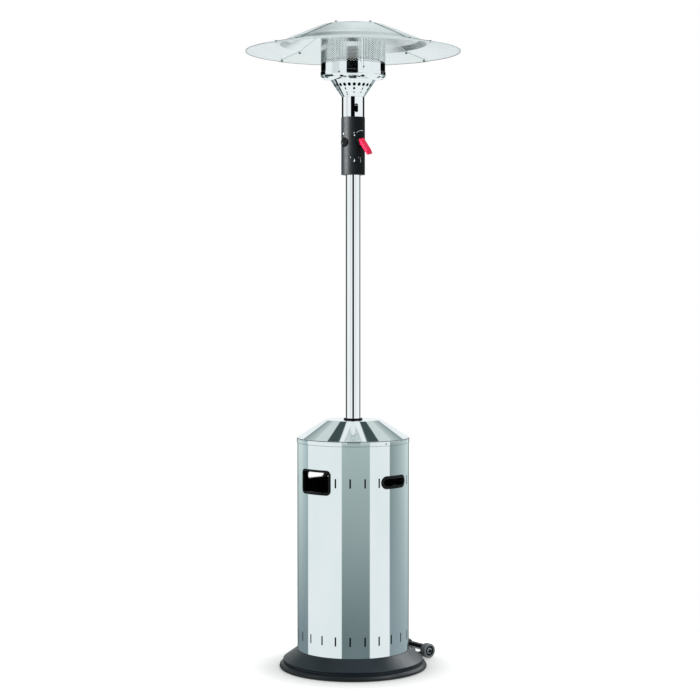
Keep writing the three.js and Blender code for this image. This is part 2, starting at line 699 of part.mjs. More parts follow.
function buildIgnition(parent) {
  const group = subgroup(parent, { azimuth: button.azimuth, height: button.height });
  const bezelFar = coverRadius + bezel.proud;
  const bezelNear = bezelFar - bezel.length;
  const bezelProfile = ring(buttonBore, bezel.radius, bezelNear, bezelFar);
  add(group, 'button_bezel', revolveOutward(bezelProfile, facets.pole), materials.black);
  const buttonFar = bezelFar + button.proud;
  const buttonNear = buttonFar - button.length;
  add(group, 'ignition_button', outwardRod(button.radius, buttonNear, buttonFar, 0, facets.pole), materials.black);
  const cupFar = bezelNear - gap;
  const cupFloor = cupFar - igniter.cupDepth;
  const cupInside = igniter.cupRadius - igniter.cupWall;
  add(group, 'igniter', revolveOutward([
    [0, cupFloor - igniter.length],
    [igniter.radius, cupFloor - igniter.length],
    [igniter.radius, cupFloor - igniter.cupWall],
    [igniter.cupRadius, cupFloor - igniter.cupWall],
    [igniter.cupRadius, cupFar],
    [cupInside, cupFar],
    [cupInside, cupFloor],
    [0, cupFloor],
  ], facets.pole), materials.black);
}

function buildJet(group) {
  const bracketLow = tube.height - jetBracket.drop;
  const bracketHigh = bracketLow + jetBracket.thickness;
  const hole = jet.radius + gap;
  add(group, 'jet_bracket', revolve(ring(hole, tubeFit, bracketLow, bracketHigh), facets.tube), materials.zinc);
  const flangeLow = bracketHigh + gap;
  const flangeHigh = flangeLow + jet.flange;
  const tipLow = flangeHigh + jet.body;
  const jetLow = bracketLow - jet.below;
  add(group, 'injector', revolve([
    [0, jetLow],
    [jet.radius, jetLow],
    [jet.radius, flangeLow],
    [jet.flangeRadius, flangeLow],
    [jet.flangeRadius, flangeHigh],
    [jet.radius, flangeHigh],
    [jet.radius, tipLow],
    [jet.tipRadius, tipLow + jet.tip],
    [0, tipLow + jet.tip],
  ], facets.rod), materials.brass);
  const feedTop = new THREE.Vector3(0, 0, jetLow - gap);
  add(group, 'feed_pipe', bentRod(valvePort(valveTop + gap), feedTop, feed.radius), materials.brass);
}

function buildPoleAndHead() {
  const group = subgroup(assembly, { height: headBottom });
  const poleLow = bracketTop + gap - headBottom;
  const poleProfile = ring(pole.radius - pole.wall, pole.radius, poleLow, pole.insert);
  add(group, 'pole', revolve(poleProfile, facets.pole), materials.chrome);
  add(group, 'gas_pipe', gasPipe(), materials.brass);
  add(group, 'pole_adapter', poleAdapter(), materials.black);
  add(group, 'control_tube', controlTube(), materials.chrome);
  add(group, 'control_cover', controlCover(), materials.black);
  buildControl(group);
  buildIgnition(group);
  const switchFar = Math.sqrt(tubeFit ** 2 - (tiltSwitch.width / 2) ** 2);
  const switchHigh = tube.height - tiltSwitch.drop;
  add(group, 'tilt_switch',
    block(tiltSwitch.width, switchFar - tiltSwitch.depth, switchFar, switchHigh - tiltSwitch.height, switchHigh),
    materials.black).rotation.z = Math.PI;
  buildJet(group);
}

function airCone() {
  const collarInside = tubeFit - cone.wall;
  const foot = gap;
  const run = cone.topRadius - tube.radius;
  const rise = cone.rise - foot;
  const across = (cone.wall * Math.hypot(run, rise)) / rise;
  const neckTop = foot + 2 * cone.neck;
  const neckRadius = tube.radius - across + (run * (neckTop - foot)) / rise;
  const body = revolve([
    [collarInside, -cone.collar],
    [tubeFit, -cone.collar],
    [tubeFit, foot],
    [tube.radius, foot],
    [cone.topRadius, cone.rise],
    [cone.topRadius - across, cone.rise],
    [neckRadius, neckTop],
    [collarInside, foot + cone.neck],
  ], facets.tube);
  const flatPhase = 180 / facets.tube; // the holes lie in the middle of the cone's flats
  const holes = Object.values(coneHoles).flatMap(({ count, radius, height }) => {
    const middle = tube.radius + (run * (height - foot)) / rise;
    return Array.from({ length: count }, (_, i) =>
      turned(outwardRod(radius, middle - 2 * overrun, middle + 2 * overrun, height, facets.hole),
        flatPhase + (360 * i) / count));
  });
  return turned(cut(body, ...holes), coneHolePhase - flatPhase);
}

function burnerPan() {
  const rimInside = screen.radius + gap;
  const body = revolve([
    [mixer.radius + gap, panLow],
    [rimInside + pan.wall, panLow],
    [rimInside + pan.wall, panLow + pan.rim],
    [rimInside, panLow + pan.rim],
    [rimInside, panFloor],
    [mixer.radius + gap, panFloor],
  ], facets.burner);
  const holes = Array.from({ length: panHoles.count }, (_, i) =>
    turned(
      rod(panHoles.radius, panLow - overrun, panFloor + overrun, facets.hole).translate(0, -panHoles.circle, 0),
      panHoles.phase + (360 * i) / panHoles.count,
    ));
  return cut(body, ...holes);
}

function mixingTube() {
  const inside = mixer.radius - mixer.wall;
  const low = panLow - mixer.below;
  const seat = panFloor + gap;
  const high = panFloor + mixer.above;
  return revolve([
    [inside, low],
    [mixer.radius, low],
    [mixer.radius, seat],
    [mixer.flangeRadius, seat],
    [mixer.flangeRadius, seat + mixer.flange],
    [mixer.radius, seat + mixer.flange],
    [mixer.radius, high - mixer.flange],
    [mixer.flangeRadius, high - mixer.flange],
    [mixer.flangeRadius, high],
    [inside, high],
  ], facets.rod);
}

function burnerHead() {
  const low = panFloor + mixer.above + gap;
  const high = low + head.height;
  return revolve([
    [head.hole, low],
    [head.radius, low],
    [head.radius, high],
    [0, high],
    [0, high - head.wall],
    [head.radius - head.wall, high - head.wall],
    [head.radius - head.wall, low + head.wall],
    [head.hole, low + head.wall],
  ], facets.tube);
}

function burnerCap() {
  const flangeOutside = screenInside - gap;
  const high = capLow + cap.thickness;
  return revolve([
    [0, capLow],
    [flangeOutside - cap.wall, capLow],
    [flangeOutside - cap.wall, capLow - cap.flange],
    [flangeOutside, capLow - cap.flange],
    [flangeOutside, capLow],
    [screen.radius, capLow],
    [screen.radius, high],
    [0, high],
  ], facets.burner);
}

function pilotBracket() {
  const low = panFloor + gap;
  const near = pilot.circle - pilot.depth / 2;
  const far = pilot.circle + pilot.depth / 2;
  const foot = block(pilot.width, near, far, low, low + pilot.wall);
  const upright = block(pilot.width, far - pilot.wall, far, low, low + pilot.height);
  const sensorHeight = low + pilot.height - 2 * pilot.sensorRadius;
  const sensor = outwardRod(pilot.sensorRadius, far - pilot.sensor, far, sensorHeight, facets.hole);
  return turned(join(foot, upright, sensor), pilot.azimuth);
}

function ignitionElectrode() {
  const low = panFloor + gap;
  const ceramicTop = low + electrode.height;
  const profile = [
    [0, low],
    [electrode.radius, low],
    [electrode.radius, ceramicTop],
    [electrode.tipRadius, ceramicTop],
    [electrode.tipRadius, ceramicTop + electrode.tip],
    [0, ceramicTop + electrode.tip],
  ];
  return turned(revolve(profile, facets.rod).translate(0, -electrode.circle, 0), electrode.azimuth);
}

function buildBurner() {
  const group = subgroup(assembly, { height: tubeTop });
  add(group, 'air_cone', airCone(), materials.stainless);
  add(group, 'burner_pan', burnerPan(), materials.stainless);
  add(group, 'mixing_tube', mixingTube(), materials.zinc);
  add(group, 'burner_head', burnerHead(), materials.castIron);
  const screenProfile = ring(screenInside, screen.radius, screenLow, screenLow + screen.height);
  add(group, 'emitter_screen', revolve(screenProfile, facets.burner), materials.stainless);
  add(group, 'burner_cap', burnerCap(), materials.stainless);
  add(group, 'pilot_bracket', pilotBracket(), materials.zinc);
  add(group, 'electrode', ignitionElectrode(), materials.ceramic);
}

// Upper line of a reflector sheet, from the central hole out to the rim, below the crown
const reflectorLine = [
  [reflector.hole, 0],
  [reflector.crownRadius, 0],
  [reflector.shoulderRadius, -reflector.shoulderDrop],
  [reflector.foldRadius, -reflector.foldDrop],
  [reflector.rimRadius, -reflector.rimDrop],
];

// Height of that line at a radius on the shallow brim
function brimHeight(radius) {
  const share = (radius - reflector.foldRadius) / (reflector.rimRadius - reflector.foldRadius);
  return -reflector.foldDrop - share * (reflector.rimDrop - reflector.foldDrop);
}

const seamScrewRadii = [
  reflector.foldRadius + seamScrews.foldInset,
  reflector.rimRadius - seamScrews.rimInset,
];

// A quarter of the plane about the front, with the overlap beyond both seams
function panelMask() {
  const tip = reflector.overlap * Math.SQRT2;
  const reach = 2 * reflector.rimRadius;
  const shape = new THREE.Shape([
    new THREE.Vector2(0, tip),
    new THREE.Vector2(-reach, tip - reach),
    new THREE.Vector2(reach, tip - reach),
  ]);
  const depth = 2 * reflector.rimDrop;
  return new THREE.ExtrudeGeometry(shape, { depth, bevelEnabled: false }).translate(0, 0, -depth / 2);
}

const atSeam = (geometry, radius, side) => turned(geometry.translate(0, -radius, 0), side * seamAzimuths[0]);

// A panel about the front. An upper panel carries the seam screws, a lower one their holes.
function reflectorPanel(isUpper) {
  const underside = reflectorLine.map(([radius, height]) => [radius, height - reflector.sheet]).reverse();
  const quarter = common(revolve([...reflectorLine, ...underside], facets.large), panelMask());
  const stud = standoff.studRadius + slideGap;
  const pitch = reflector.sheet + gap;
  const places = [-1, 1].flatMap((side) => seamScrewRadii.map((radius) => ({ side, radius })));
  const studHoles = [-1, 1].map((side) => atSeam(rod(stud, -overrun, overrun, facets.hole), standoff.circle, side));
  const panel = cut(quarter, ...studHoles);
  if (!isUpper) {
    const holes = places.map(({ side, radius }) =>
      atSeam(rod(seamScrews.radius + slideGap, -reflector.rimDrop - overrun, 0, facets.hole), radius, side));
    return cut(panel, ...holes);
  }
  const screws = places.flatMap(({ side, radius }) => {
    const top = brimHeight(radius);
    const nutTop = top - reflector.sheet - pitch - seamScrews.head;
    return [
      atSeam(rod(seamScrews.radius, nutTop, top, facets.hole), radius, side),
      atSeam(rod(seamScrews.headRadius, top - reflector.sheet / 2, top + seamScrews.head, facets.hole), radius, side),
      atSeam(rod(seamScrews.headRadius, nutTop - seamScrews.head, nutTop, facets.hole), radius, side),
    ];
  });
  return join(panel, ...screws);
}

function standoffBody() {
  const crownStack = 2 * (reflector.sheet + gap) + crownDisc.thickness + gap;
  const shoulder = standoffLow + standoff.height;
  const nutLow = crownLow + crownStack;
  return revolve([
    [0, standoffLow],
    [standoff.radius, standoffLow],
    [standoff.radius, shoulder],
    [standoff.studRadius, shoulder],
    [standoff.studRadius, nutLow],
    [standoff.nutRadius, nutLow],
    [standoff.nutRadius, nutLow + standoff.nut],
    [0, nutLow + standoff.nut],
  ], facets.rod).translate(0, -standoff.circle, 0);
}

function crownDiscBody() {
  const low = crownLow + 2 * (reflector.sheet + gap);
  const high = low + crownDisc.thickness;
  const holes = seamAzimuths.map((azimuth) =>
    turned(
      rod(standoff.studRadius + slideGap, low - overrun, high + overrun, facets.hole)
        .translate(0, -standoff.circle, 0),
      azimuth,
    ));
  return cut(revolve(disc(crownDisc.radius, low, high), facets.large), ...holes);
}

function buildReflector() {
  const group = subgroup(assembly, { height: tubeTop });
  seamAzimuths.forEach((azimuth, i) => {
    add(group, `standoff_${i + 1}`, turned(standoffBody(), azimuth), materials.zinc);
  });
  ['front', 'right', 'rear', 'left'].forEach((name, i) => {
    const isUpper = i % 2 === 1;
    const lowerTop = crownLow + reflector.sheet;
    const panel = add(group, `reflector_${name}`, reflectorPanel(isUpper), materials.aluminium);
    panel.position.z = lowerTop + (isUpper ? reflector.sheet + gap : 0);
    panel.rotation.z = radians(90 * i);
  });
  add(group, 'crown_disc', crownDiscBody(), materials.aluminium);
}

buildBase();
buildWheels();
buildHousing();
buildPoleAndHead();
buildBurner();
buildReflector();

export default assembly;
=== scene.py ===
"""The looks of a gas patio heater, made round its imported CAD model.

Sizes are in millimetres, as on the drawing, and the meshes are scaled to metres when they are made. The
origin lies on the floor on the pole's axis, and the front faces -Y. Azimuths are in degrees from the
front, towards +X. An "outward" shape has its axis along -Y before it is turned to its azimuth.
"""

import math
from collections import defaultdict
from types import SimpleNamespace as Sizes

import bmesh
import bpy
from mathutils import Matrix, Vector


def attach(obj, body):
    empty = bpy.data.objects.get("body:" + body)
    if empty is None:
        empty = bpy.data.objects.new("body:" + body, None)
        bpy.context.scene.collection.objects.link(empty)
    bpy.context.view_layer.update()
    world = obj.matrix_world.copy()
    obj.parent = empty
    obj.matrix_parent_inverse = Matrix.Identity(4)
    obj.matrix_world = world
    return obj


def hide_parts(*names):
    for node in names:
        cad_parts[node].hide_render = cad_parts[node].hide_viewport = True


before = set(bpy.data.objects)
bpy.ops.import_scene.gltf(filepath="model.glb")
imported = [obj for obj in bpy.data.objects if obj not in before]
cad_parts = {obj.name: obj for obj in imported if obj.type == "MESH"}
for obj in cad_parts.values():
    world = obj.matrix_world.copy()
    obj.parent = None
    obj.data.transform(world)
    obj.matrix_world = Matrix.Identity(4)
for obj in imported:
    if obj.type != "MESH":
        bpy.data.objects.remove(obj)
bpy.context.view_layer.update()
scene = bpy.context.scene
MM = 0.001

# Fineness of the turned shapes, and the clearance between pieces that touch
ROUND = Sizes(mirror=288, large=160, middle=96, small=48, tiny=24)
ARC_STEPS = 5
GAP = 0.3
OVERRUN = 6
CORNERS = ((1, 1), (-1, 1), (-1, -1), (1, -1))

# Base and wheels
BASE = Sizes(radius=251, height=63, crease=28, bead=15.9, skirt=234.8, foot=15.8, lip=5.2, deck=192, wall=2.5)
UPSTAND = Sizes(inside=185.7, outside=188, height=8)
EDGE_RING = Sizes(height=18, ledge=222.2, ledge_height=2.7, seat=228.6, seat_height=15.5)
BALLAST_TOP = 13.3
POST = Sizes(radius=9, hole=9.3, hole_reach=20, circle=175, stud=4, nut=7.2, nut_height=6)
POST_AZIMUTHS = {"left": -80, "right": 80, "rear": 180}
BRACKET = Sizes(low=744, high=747)
SOCKET = Sizes(flange=45, flange_height=4, wall=3, height=44, bolt_circle=37, nut=4.2, nut_height=2.9)
WHEELS = Sizes(azimuth=127, centre=280, height=27, track=60)
TYRE = Sizes(radius=25, width=25, wall=8, shoulder=6, groove=0.9, groove_half=1.2)
WHEEL_HUB = Sizes(face=11, rim=1.6, web=2.4, recess=4.5, boss=10.6, boss_foot=11.3, dark_from=10.9, play=0.45)
AXLE = Sizes(radius=4, head=6.2, head_height=3, play=1)
ARM = Sizes(centre=33, width=22, low=13.3, thickness=5, near=150, far=300)

# Bottle housing, lid, band and collar
SHELL = Sizes(radius=190, wall=1.2, low=63.3, high=775)
SLOTS = Sizes(width=5.4, height=31, count=24, phase=-3, low=118.5, corner=1.4, clearance=1.5)
OPENING_HEIGHT = 643.5
OPENING_REACH = 16
WINDOW = Sizes(azimuth=-43, width=130, height=83.5, corner=16, frame=8, depth=8)
GRIPS = Sizes(azimuth=47, width=116, height=43.5, corner=21.7, frame=10, depth=16)
HOUSING_OPENINGS = (
    ("window_trim", WINDOW, WINDOW.azimuth),
    ("grip_right", GRIPS, GRIPS.azimuth),
    ("grip_left", GRIPS, GRIPS.azimuth - 180),
)
TRIM = Sizes(flange=1.8, arc_steps=12, straight_steps=20)
STRIP = Sizes(azimuth=97, width=24, wall=1.5, low=80, high=759.5, slit=0.8)
STRIP_SCREW = Sizes(radius=2.5, hole=2.8, head=4.5, height=1.8)
STRIP_SCREW_HEIGHTS = [87 + 206 * i for i in range(4)]
LID = Sizes(base=781, top=842.5, top_radius=95, wall=1.2, hole=29, skirt=21, dark_from=190.9)
BAND = Sizes(low=764.7, high=780.7, wall=1.3, joint=40.6, joint_gap=0.6)
BAND_SCREW = Sizes(azimuth=34.8, head=2.7, seat=0.8, height=2)
COLLAR = Sizes(flange=32, low=842.8, high=846.8, foot=827.3, play=0.5)

# Pole and control head
POLE = Sizes(radius=25.25, wall=1.5, low=747.3, high=1705)
ADAPTER = Sizes(radius=36.6, low=1673.2, high=1699)
HEAD_LOW = 1673
TUBE = Sizes(radius=38.7, wall=1.5, top=1936)
COVER = Sizes(radius=40.3, wall=1.3, top=1868)
PORT = Sizes(azimuth=17, height=1897, width=12, length=30, near=20, far=45)
CONTROL = Sizes(azimuth=36, height=1785, turn=12, bore=4.3, hole=8.5)
HEAD_CUT = (10, 50)
SLEEVE = Sizes(radius=8, near=37.6)
LEVER_HUB = Sizes(radius=15.5, near=43.9, far=50.4, slot=46.9, slot_foot=-22)
LEVER = Sizes(width=20, thickness=10, length=55, tilt=35, near=47.2, far=52, above=9, below=12)
LEVER_TIP = Sizes(facet=13, depth=4.2, root_back=12, root_front=2)
BEZEL = Sizes(radius=16.4, near=33, far=41.6)
BUTTON = Sizes(azimuth=-48, height=1782, radius=12.2, near=30, far=43.1, dish=9.4, floor=6.5, depth=1.3)

# Printed marks on the cover: plain symbols, each by its azimuth, height and size
INK_LIFT = 0.06
ELLIPSES = (
    (-54.9, 1811, 3.6, 8), (5.8, 1718, 4.6, 5.4), (-13.2, 1730, 1.4, 4.5), (26.6, 1730, 1.4, 4),
    (38.7, 1720, 1.5, 15), (38.7, 1729.5, 4, 1.6),
)
FLAMES = ((4.4, 1812.5, 3.4), (6.8, 1804.2, 5), (5.8, 1723, 3))
ARC = Sizes(azimuth=36, height=1788, radii=(28, 36), angles=(121, 66), widths=(0.7, 2.4))
MARK_STEPS = 20

# Burner
CONE = Sizes(top=85, rise=69, wall=1.5, phase=3.5, bore=38.6, spigot=36.8, spigot_bore=35.3, spigot_depth=12)
CONE_HOLES = ((24, 5.5, 38), (12, 3.9, 25), (12, 2.3, 13))  # count, radius, height above the tube
CONE_HOLE_REACH = 10
CONE_SCREW = Sizes(azimuth=-27, height=6.5, head=2.6, seat=0.2, head_height=1.5)
SCREEN = Sizes(radius=109.5, wall=1, low=2006.6, high=2148.6)
PERFORATION = Sizes(columns=124, pitch=6.5, rows=15, low=2043.7, hole=2.05)
SCREEN_SEAM = Sizes(start=15, sweep=2.9, line=17.9, line_sweep=0.5, lift=0.5, low=2019.6, high=2146.6)
SCREEN_RIVET = Sizes(azimuth=18.9, height=2028, head=3, head_height=1.5)
PAN = Sizes(low=2005.3, floor=2006.3, bore=15.8, rim=14, rim_inside=109.8, rim_outside=110.8)
PAN_DISH = Sizes(edge=104, edge_height=7.2, radius=76.4, low=1991.8)
PAN_HOLES = Sizes(count=9, radius=8.5, circle=98, phase=18, below=14, above=5)
PAN_SCREWS = Sizes(azimuths=(-25, 65, 155, 245), drop=8, head=3.4, seat=0.05, head_height=1.6)
CAP = Sizes(low=2148.9, high=2150.1, lip=1.2, lip_depth=8)

# Reflector
REFLECTOR_LINE = ((40, 0), (109, 0, 14), (225, -47.5, 20), (250, -62, 14), (365, -86))
PANEL = Sizes(sheet=1, overlap=8, lower=2176, upper=2177.3, hem=1.7, steps=72, longest_stretch=12)
CURL = Sizes(steps=8, start=90, sweep=250, lift=0.4)
SEAM_AZIMUTHS = (45, 135, 225, 315)
SEAM_SCREW_RADII = (264, 355)
SEAM_SCREW = Sizes(head=4, head_height=1.7, nut_low=-5.4, nut_high=-2.5, shank=1.8, shank_low=-6.2)
STANDOFF = Sizes(radius=6, circle=81.3, low=2150.4, shoulder=2174.7, thread=3, top=2188.9)
STANDOFF_NUT = Sizes(radius=6.5, low=2178.9, height=5.5)
STUD_HOLES = Sizes(panel=3.6, disc=3.5, reach=9)
CROWN_DISC = Sizes(radius=100, low=2177.6, high=2178.6)

# Camera, from the photograph: its place in metres, its tilt below level and its lens
CAMERA = Sizes(place=(-0.0105, -5.98, 1.311), tilt=1.2, lens=90.46, sensor=36, shift=-0.045)
FLOOR = Sizes(edge=1.7, fade_start=0.6, fade_end=1.649)
# The floor's glow for the camera, weaker near the base: painted shade round the base, over its real shadow
FLOOR_GLOW_AND_PAINTED_SHADE = Sizes(near=0.24, far=0.62, start=0.24, end=0.38)

# Lamps, in metres and watts, with the pieces that each one lights
HEAD_TARGET = (0, 0, 1.78)
FOOT_TARGET = (0, 0, 0.05)
LIT_CONTROLS = ("cover_marks", "sleeve_turned", "hub_turned", "lever_handle", "bezel_moulded", "button_cap")
LIT_FOOT = ("base_shell", "edge_moulding", "tyre_near", "tyre_far", "hub_near", "hub_far", "axle_turned")
LAMPS = (
    ("soft_left", (-3.0, -1.1, 2.3), HEAD_TARGET, 2.6, 720, ("head_cover",)),
    ("soft_controls", (-2.6, -1.6, 2.7), HEAD_TARGET, 1.2, 160, LIT_CONTROLS),
    ("soft_right", (2.1, 1.5, 1.7), FOOT_TARGET, 1.7, 42, LIT_FOOT),
    ("soft_corner", (2.0, -1.25, 2.1), FOOT_TARGET, 0.7, 35, LIT_FOOT),
    ("soft_side", (-2.4, -1.0, 2.0), FOOT_TARGET, 0.5, 10, LIT_FOOT),
)

# Cards of the studio as bands about the pole: from and to in degrees, then one colour or one at each end
WHITE, NEAR_WHITE, BLACK_CARD = (244, 248, 250), (238, 244, 246), (6, 8, 9)
PALE, GREY, DIM = (226, 231, 232), (120, 126, 126), (66, 80, 80)
HOUSING_TOP_BANDS = (
    (-180, -171, WHITE), (-171, -157, (118, 132, 130), (128, 142, 140)),
    (-157, -135, (206, 222, 220), (214, 229, 227)), (-135, -105.8, (214, 229, 227), (176, 196, 200)),
    (-105.8, -23.5, NEAR_WHITE), (-23.5, 34.4, (178, 195, 193)), (34.4, 80.5, NEAR_WHITE),
    (80.5, 157, (134, 149, 150), (222, 236, 236)), (157, 171, (108, 122, 122)), (171, 180, WHITE),
)
HOUSING_FOOT_BANDS = (
    (-180, -171, WHITE), (-171, -157, (90, 100, 100), (96, 108, 108)),
    (-157, -105.8, (122, 137, 142), (126, 142, 148)), (-105.8, -23.5, NEAR_WHITE),
    (-23.5, 34.4, (110, 125, 128)), (34.4, 80.5, NEAR_WHITE),
    (80.5, 157, (136, 152, 157), (160, 176, 180)), (157, 171, (80, 94, 96)), (171, 180, WHITE),
)
POLE_BANDS = (
    (-180, -165, WHITE), (-165, -157, GREY), (-157, -106, (75, 85, 85)), (-106, -46, WHITE), (-46, -30, PALE),
    (-30, -12, WHITE), (-12, 15, BLACK_CARD), (15, 34, WHITE), (34, 50, PALE), (50, 112, WHITE),
    (112, 165, GREY), (165, 180, WHITE),
)
HEAD_BANDS = (
    (-180, -165, WHITE), (-165, -115, BLACK_CARD), (-115, -80, WHITE), (-80, -50, (222, 228, 230)),
    (-50, -23.5, WHITE), (-23.5, 18, BLACK_CARD), (18, 115, WHITE), (115, 165, BLACK_CARD), (165, 180, WHITE),
)
OVERHEAD_STOPS = (
    (0, WHITE), (25.8, WHITE), (26.1, (136, 152, 154)), (43.4, (196, 208, 206)), (43.7, (212, 222, 220)),
    (56.6, (212, 222, 220)), (56.9, DIM), (65.6, DIM), (65.9, WHITE), (90, WHITE),
)

# Single cards: azimuths and elevations between which they stand, in degrees, and their colour
FRONT_CARD = ((-23.5, 18), (-59, -26), (26, 30, 26))
LEFT_CARD = ((-165, -114), (-50, -26), (52, 66, 70))
DOME_CARD = ((-172.5, -163), (30, 50), (84, 98, 100))
REAR_CARD = Sizes(azimuth=168, top=46, colour=(236, 243, 243))
LAYER_EDGES = Sizes(ground=-23, housing=-8.2, pole=-4.8, head=4.4, overhead=9)


# Shapes: each is a list of vertices and a list of faces


def turn_point(radius, azimuth, height):
    angle = math.radians(azimuth)
    return Vector((radius * math.sin(angle), -radius * math.cos(angle), height))


def upright(azimuth, radius=0, height=0):
    """Takes an upright shape out from the axis to that azimuth and radius."""
    return Matrix.Rotation(math.radians(azimuth), 4, "Z") @ Matrix.Translation((0, -radius, height))


def outward(azimuth, height=0, turn=0):
    """Takes an upright shape to an outward one at that azimuth and height."""
    lean = Matrix.Rotation(math.radians(-turn), 4, "Y") @ Matrix.Rotation(math.radians(90), 4, "X")
    return upright(azimuth, 0, height) @ lean


def moved(shape, matrix):
    verts, faces = shape
    return [matrix @ Vector(v) for v in verts], faces


def joined(*shapes):
    verts, faces = [], []
    for more_verts, more_faces in shapes:
        start = len(verts)
        verts += list(more_verts)
        faces += [[start + i for i in face] for face in more_faces]
    return verts, faces


def rounded(outline, steps=ARC_STEPS, closed=True):
    """An outline whose corners with a third number, a radius, become arcs of that radius."""
    result = []
    for i, (x, y, *rest) in enumerate(outline):
        corner = Vector((x, y))
        at_end = not closed and i in (0, len(outline) - 1)
        if not rest or at_end:
            result.append((x, y))
            continue
        before = Vector(outline[i - 1][:2]) - corner
        after = Vector(outline[(i + 1) % len(outline)][:2]) - corner
        half = before.angle(after) / 2
        reach = min(rest[0] / math.tan(half), before.length / 2, after.length / 2)
        radius = reach * math.tan(half)
        middle = (before.normalized() + after.normalized()).normalized()
        centre = corner + middle * (radius / math.sin(half))
        start = corner + before.normalized() * reach - centre
        end = corner + after.normalized() * reach - centre
        sweep = math.atan2(start.x * end.y - start.y * end.x, start.dot(end))
        for k in range(steps + 1):
            cos, sin = math.cos(sweep * k / steps), math.sin(sweep * k / steps)
            across, up = start.x * cos - start.y * sin, start.x * sin + start.y * cos
            result.append((centre.x + across, centre.y + up))
    return result


def lathe(profile, steps=ROUND.middle, start=0, sweep=360):
    """A closed outline of (radius, height) turned about the upright axis, all round or over a sweep."""
    full = sweep == 360
    count = steps if full else steps + 1
    azimuths = [start + sweep * i / steps for i in range(count)]
    verts, rings = [], []
    for radius, height in profile:
        if radius == 0:
            rings.append([len(verts)] * count)
            verts.append(Vector((0, 0, height)))
        else:
            rings.append(list(range(len(verts), len(verts) + count)))
            verts += [turn_point(radius, azimuth, height) for azimuth in azimuths]
    faces = []
    for i, ring in enumerate(rings):
        following = rings[(i + 1) % len(rings)]
        for j in range(steps):
            k = (j + 1) % count
            corners = list(dict.fromkeys([ring[j], ring[k], following[k], following[j]]))
            if len(corners) > 2:
                faces.append(corners)
    if not full:
        faces.append([ring[0] for ring in rings])
        faces.append([ring[-1] for ring in reversed(rings)])
    return verts, faces


def spun(outline, steps=ROUND.middle, arc_steps=ARC_STEPS):
    """A turned shape whose outline's corners are rounded first."""
    return lathe(rounded(outline, arc_steps), steps)


def rod(radius, low, high, steps=ROUND.tiny):
    return lathe([(0, low), (radius, low), (radius, high), (0, high)], steps)


def tube_profile(inner, outer, low, high, edge=0.3):
    return rounded([(inner, low, edge), (outer, low, edge), (outer, high, edge), (inner, high, edge)], 3)


def mirrored(half):
    """An outline's upper half with its mirror image below."""
    return [*half, *[(radius, -height, *corner) for radius, height, *corner in reversed(half)]]


def rounded_rectangle(width, height, corner, centre=0, steps=8):
    """The outline's corners as arcs, anticlockwise from the right-hand side's top."""
    points = []
    for i, (across, up) in enumerate(CORNERS):
        for k in range(steps + 1):
            angle = math.pi / 2 * (i + k / steps)
            x = across * (width / 2 - corner) + corner * math.cos(angle)
            points.append((x, centre + up * (height / 2 - corner) + corner * math.sin(angle)))
    return points


def skin(count, rings, closed=False):
    """The faces between rings of count points each: a closed loop of rings, or a run with capped ends."""
    faces = []
    for j in range(rings if closed else rings - 1):
        near, far = j * count, (j + 1) % rings * count
        for i in range(count):
            n = (i + 1) % count
            faces.append([near + i, near + n, far + n, far + i])
    if not closed:
        faces.append(list(range(count)))
        faces.append(list(range(rings * count - 1, (rings - 1) * count - 1, -1)))
    return faces


def prism(outline, near, far):
    """An outline of (across, height) in the front's upright plane, pushed outward."""
    verts = [Vector((x, -reach, z)) for reach in (near, far) for x, z in outline]
    return verts, skin(len(outline), 2)


def block(width, near, far, low, high):
    return prism([(width / 2, low), (width / 2, high), (-width / 2, high), (-width / 2, low)], near, far)


def hexagon_nut(radius, low, high):
    """A six-sided nut with its corners turned down, round the upright axis."""
    chamfer = (high - low) / 8
    rings = [(0.93 * radius, low), (radius, low + chamfer), (radius, high - chamfer), (0.93 * radius, high)]
    return [turn_point(r, 60 * i, z) for r, z in rings for i in range(6)], skin(6, len(rings))


def screw_head(radius, low, height):
    """A domed head with a round socket, upright."""
    shares = ((0, 0), (1, 0), (1, 0.35), (0.86, 0.78), (0.55, 1), (0.34, 1), (0.3, 0.45), (0, 0.4))
    return lathe([(across * radius, low + up * height) for across, up in shares], ROUND.tiny)


# Pieces: meshes that ride on a body, with their normals and edges finished


def to_mesh(name, shape):
    verts, faces = shape
    mesh = bpy.data.meshes.new(name)
    mesh.from_pydata([tuple(Vector(v) * MM) for v in verts], [], faces)
    tidy = bmesh.new()
    tidy.from_mesh(mesh)
    bmesh.ops.remove_doubles(tidy, verts=tidy.verts, dist=1e-6)
    bmesh.ops.recalc_face_normals(tidy, faces=tidy.faces)
    tidy.to_mesh(mesh)
    tidy.free()
    return mesh


def modified(mesh, kind, **settings):
    """The mesh as one modifier leaves it."""
    piece = bpy.data.objects.new("modified", mesh)
    scene.collection.objects.link(piece)
    modifier = piece.modifiers.new("change", kind)
    for key, value in settings.items():
        setattr(modifier, key, value)
    result = bpy.data.meshes.new_from_object(piece.evaluated_get(bpy.context.evaluated_depsgraph_get()))
    bpy.data.objects.remove(piece)
    return result


def carved(mesh, cutters):
    """The mesh with the cutters taken away."""
    cutter = bpy.data.objects.new("cutter", to_mesh("cutter", joined(*cutters)))
    scene.collection.objects.link(cutter)
    result = modified(mesh, "BOOLEAN", operation="DIFFERENCE", solver="EXACT", object=cutter, use_self=True)
    bpy.data.objects.remove(cutter)
    return result


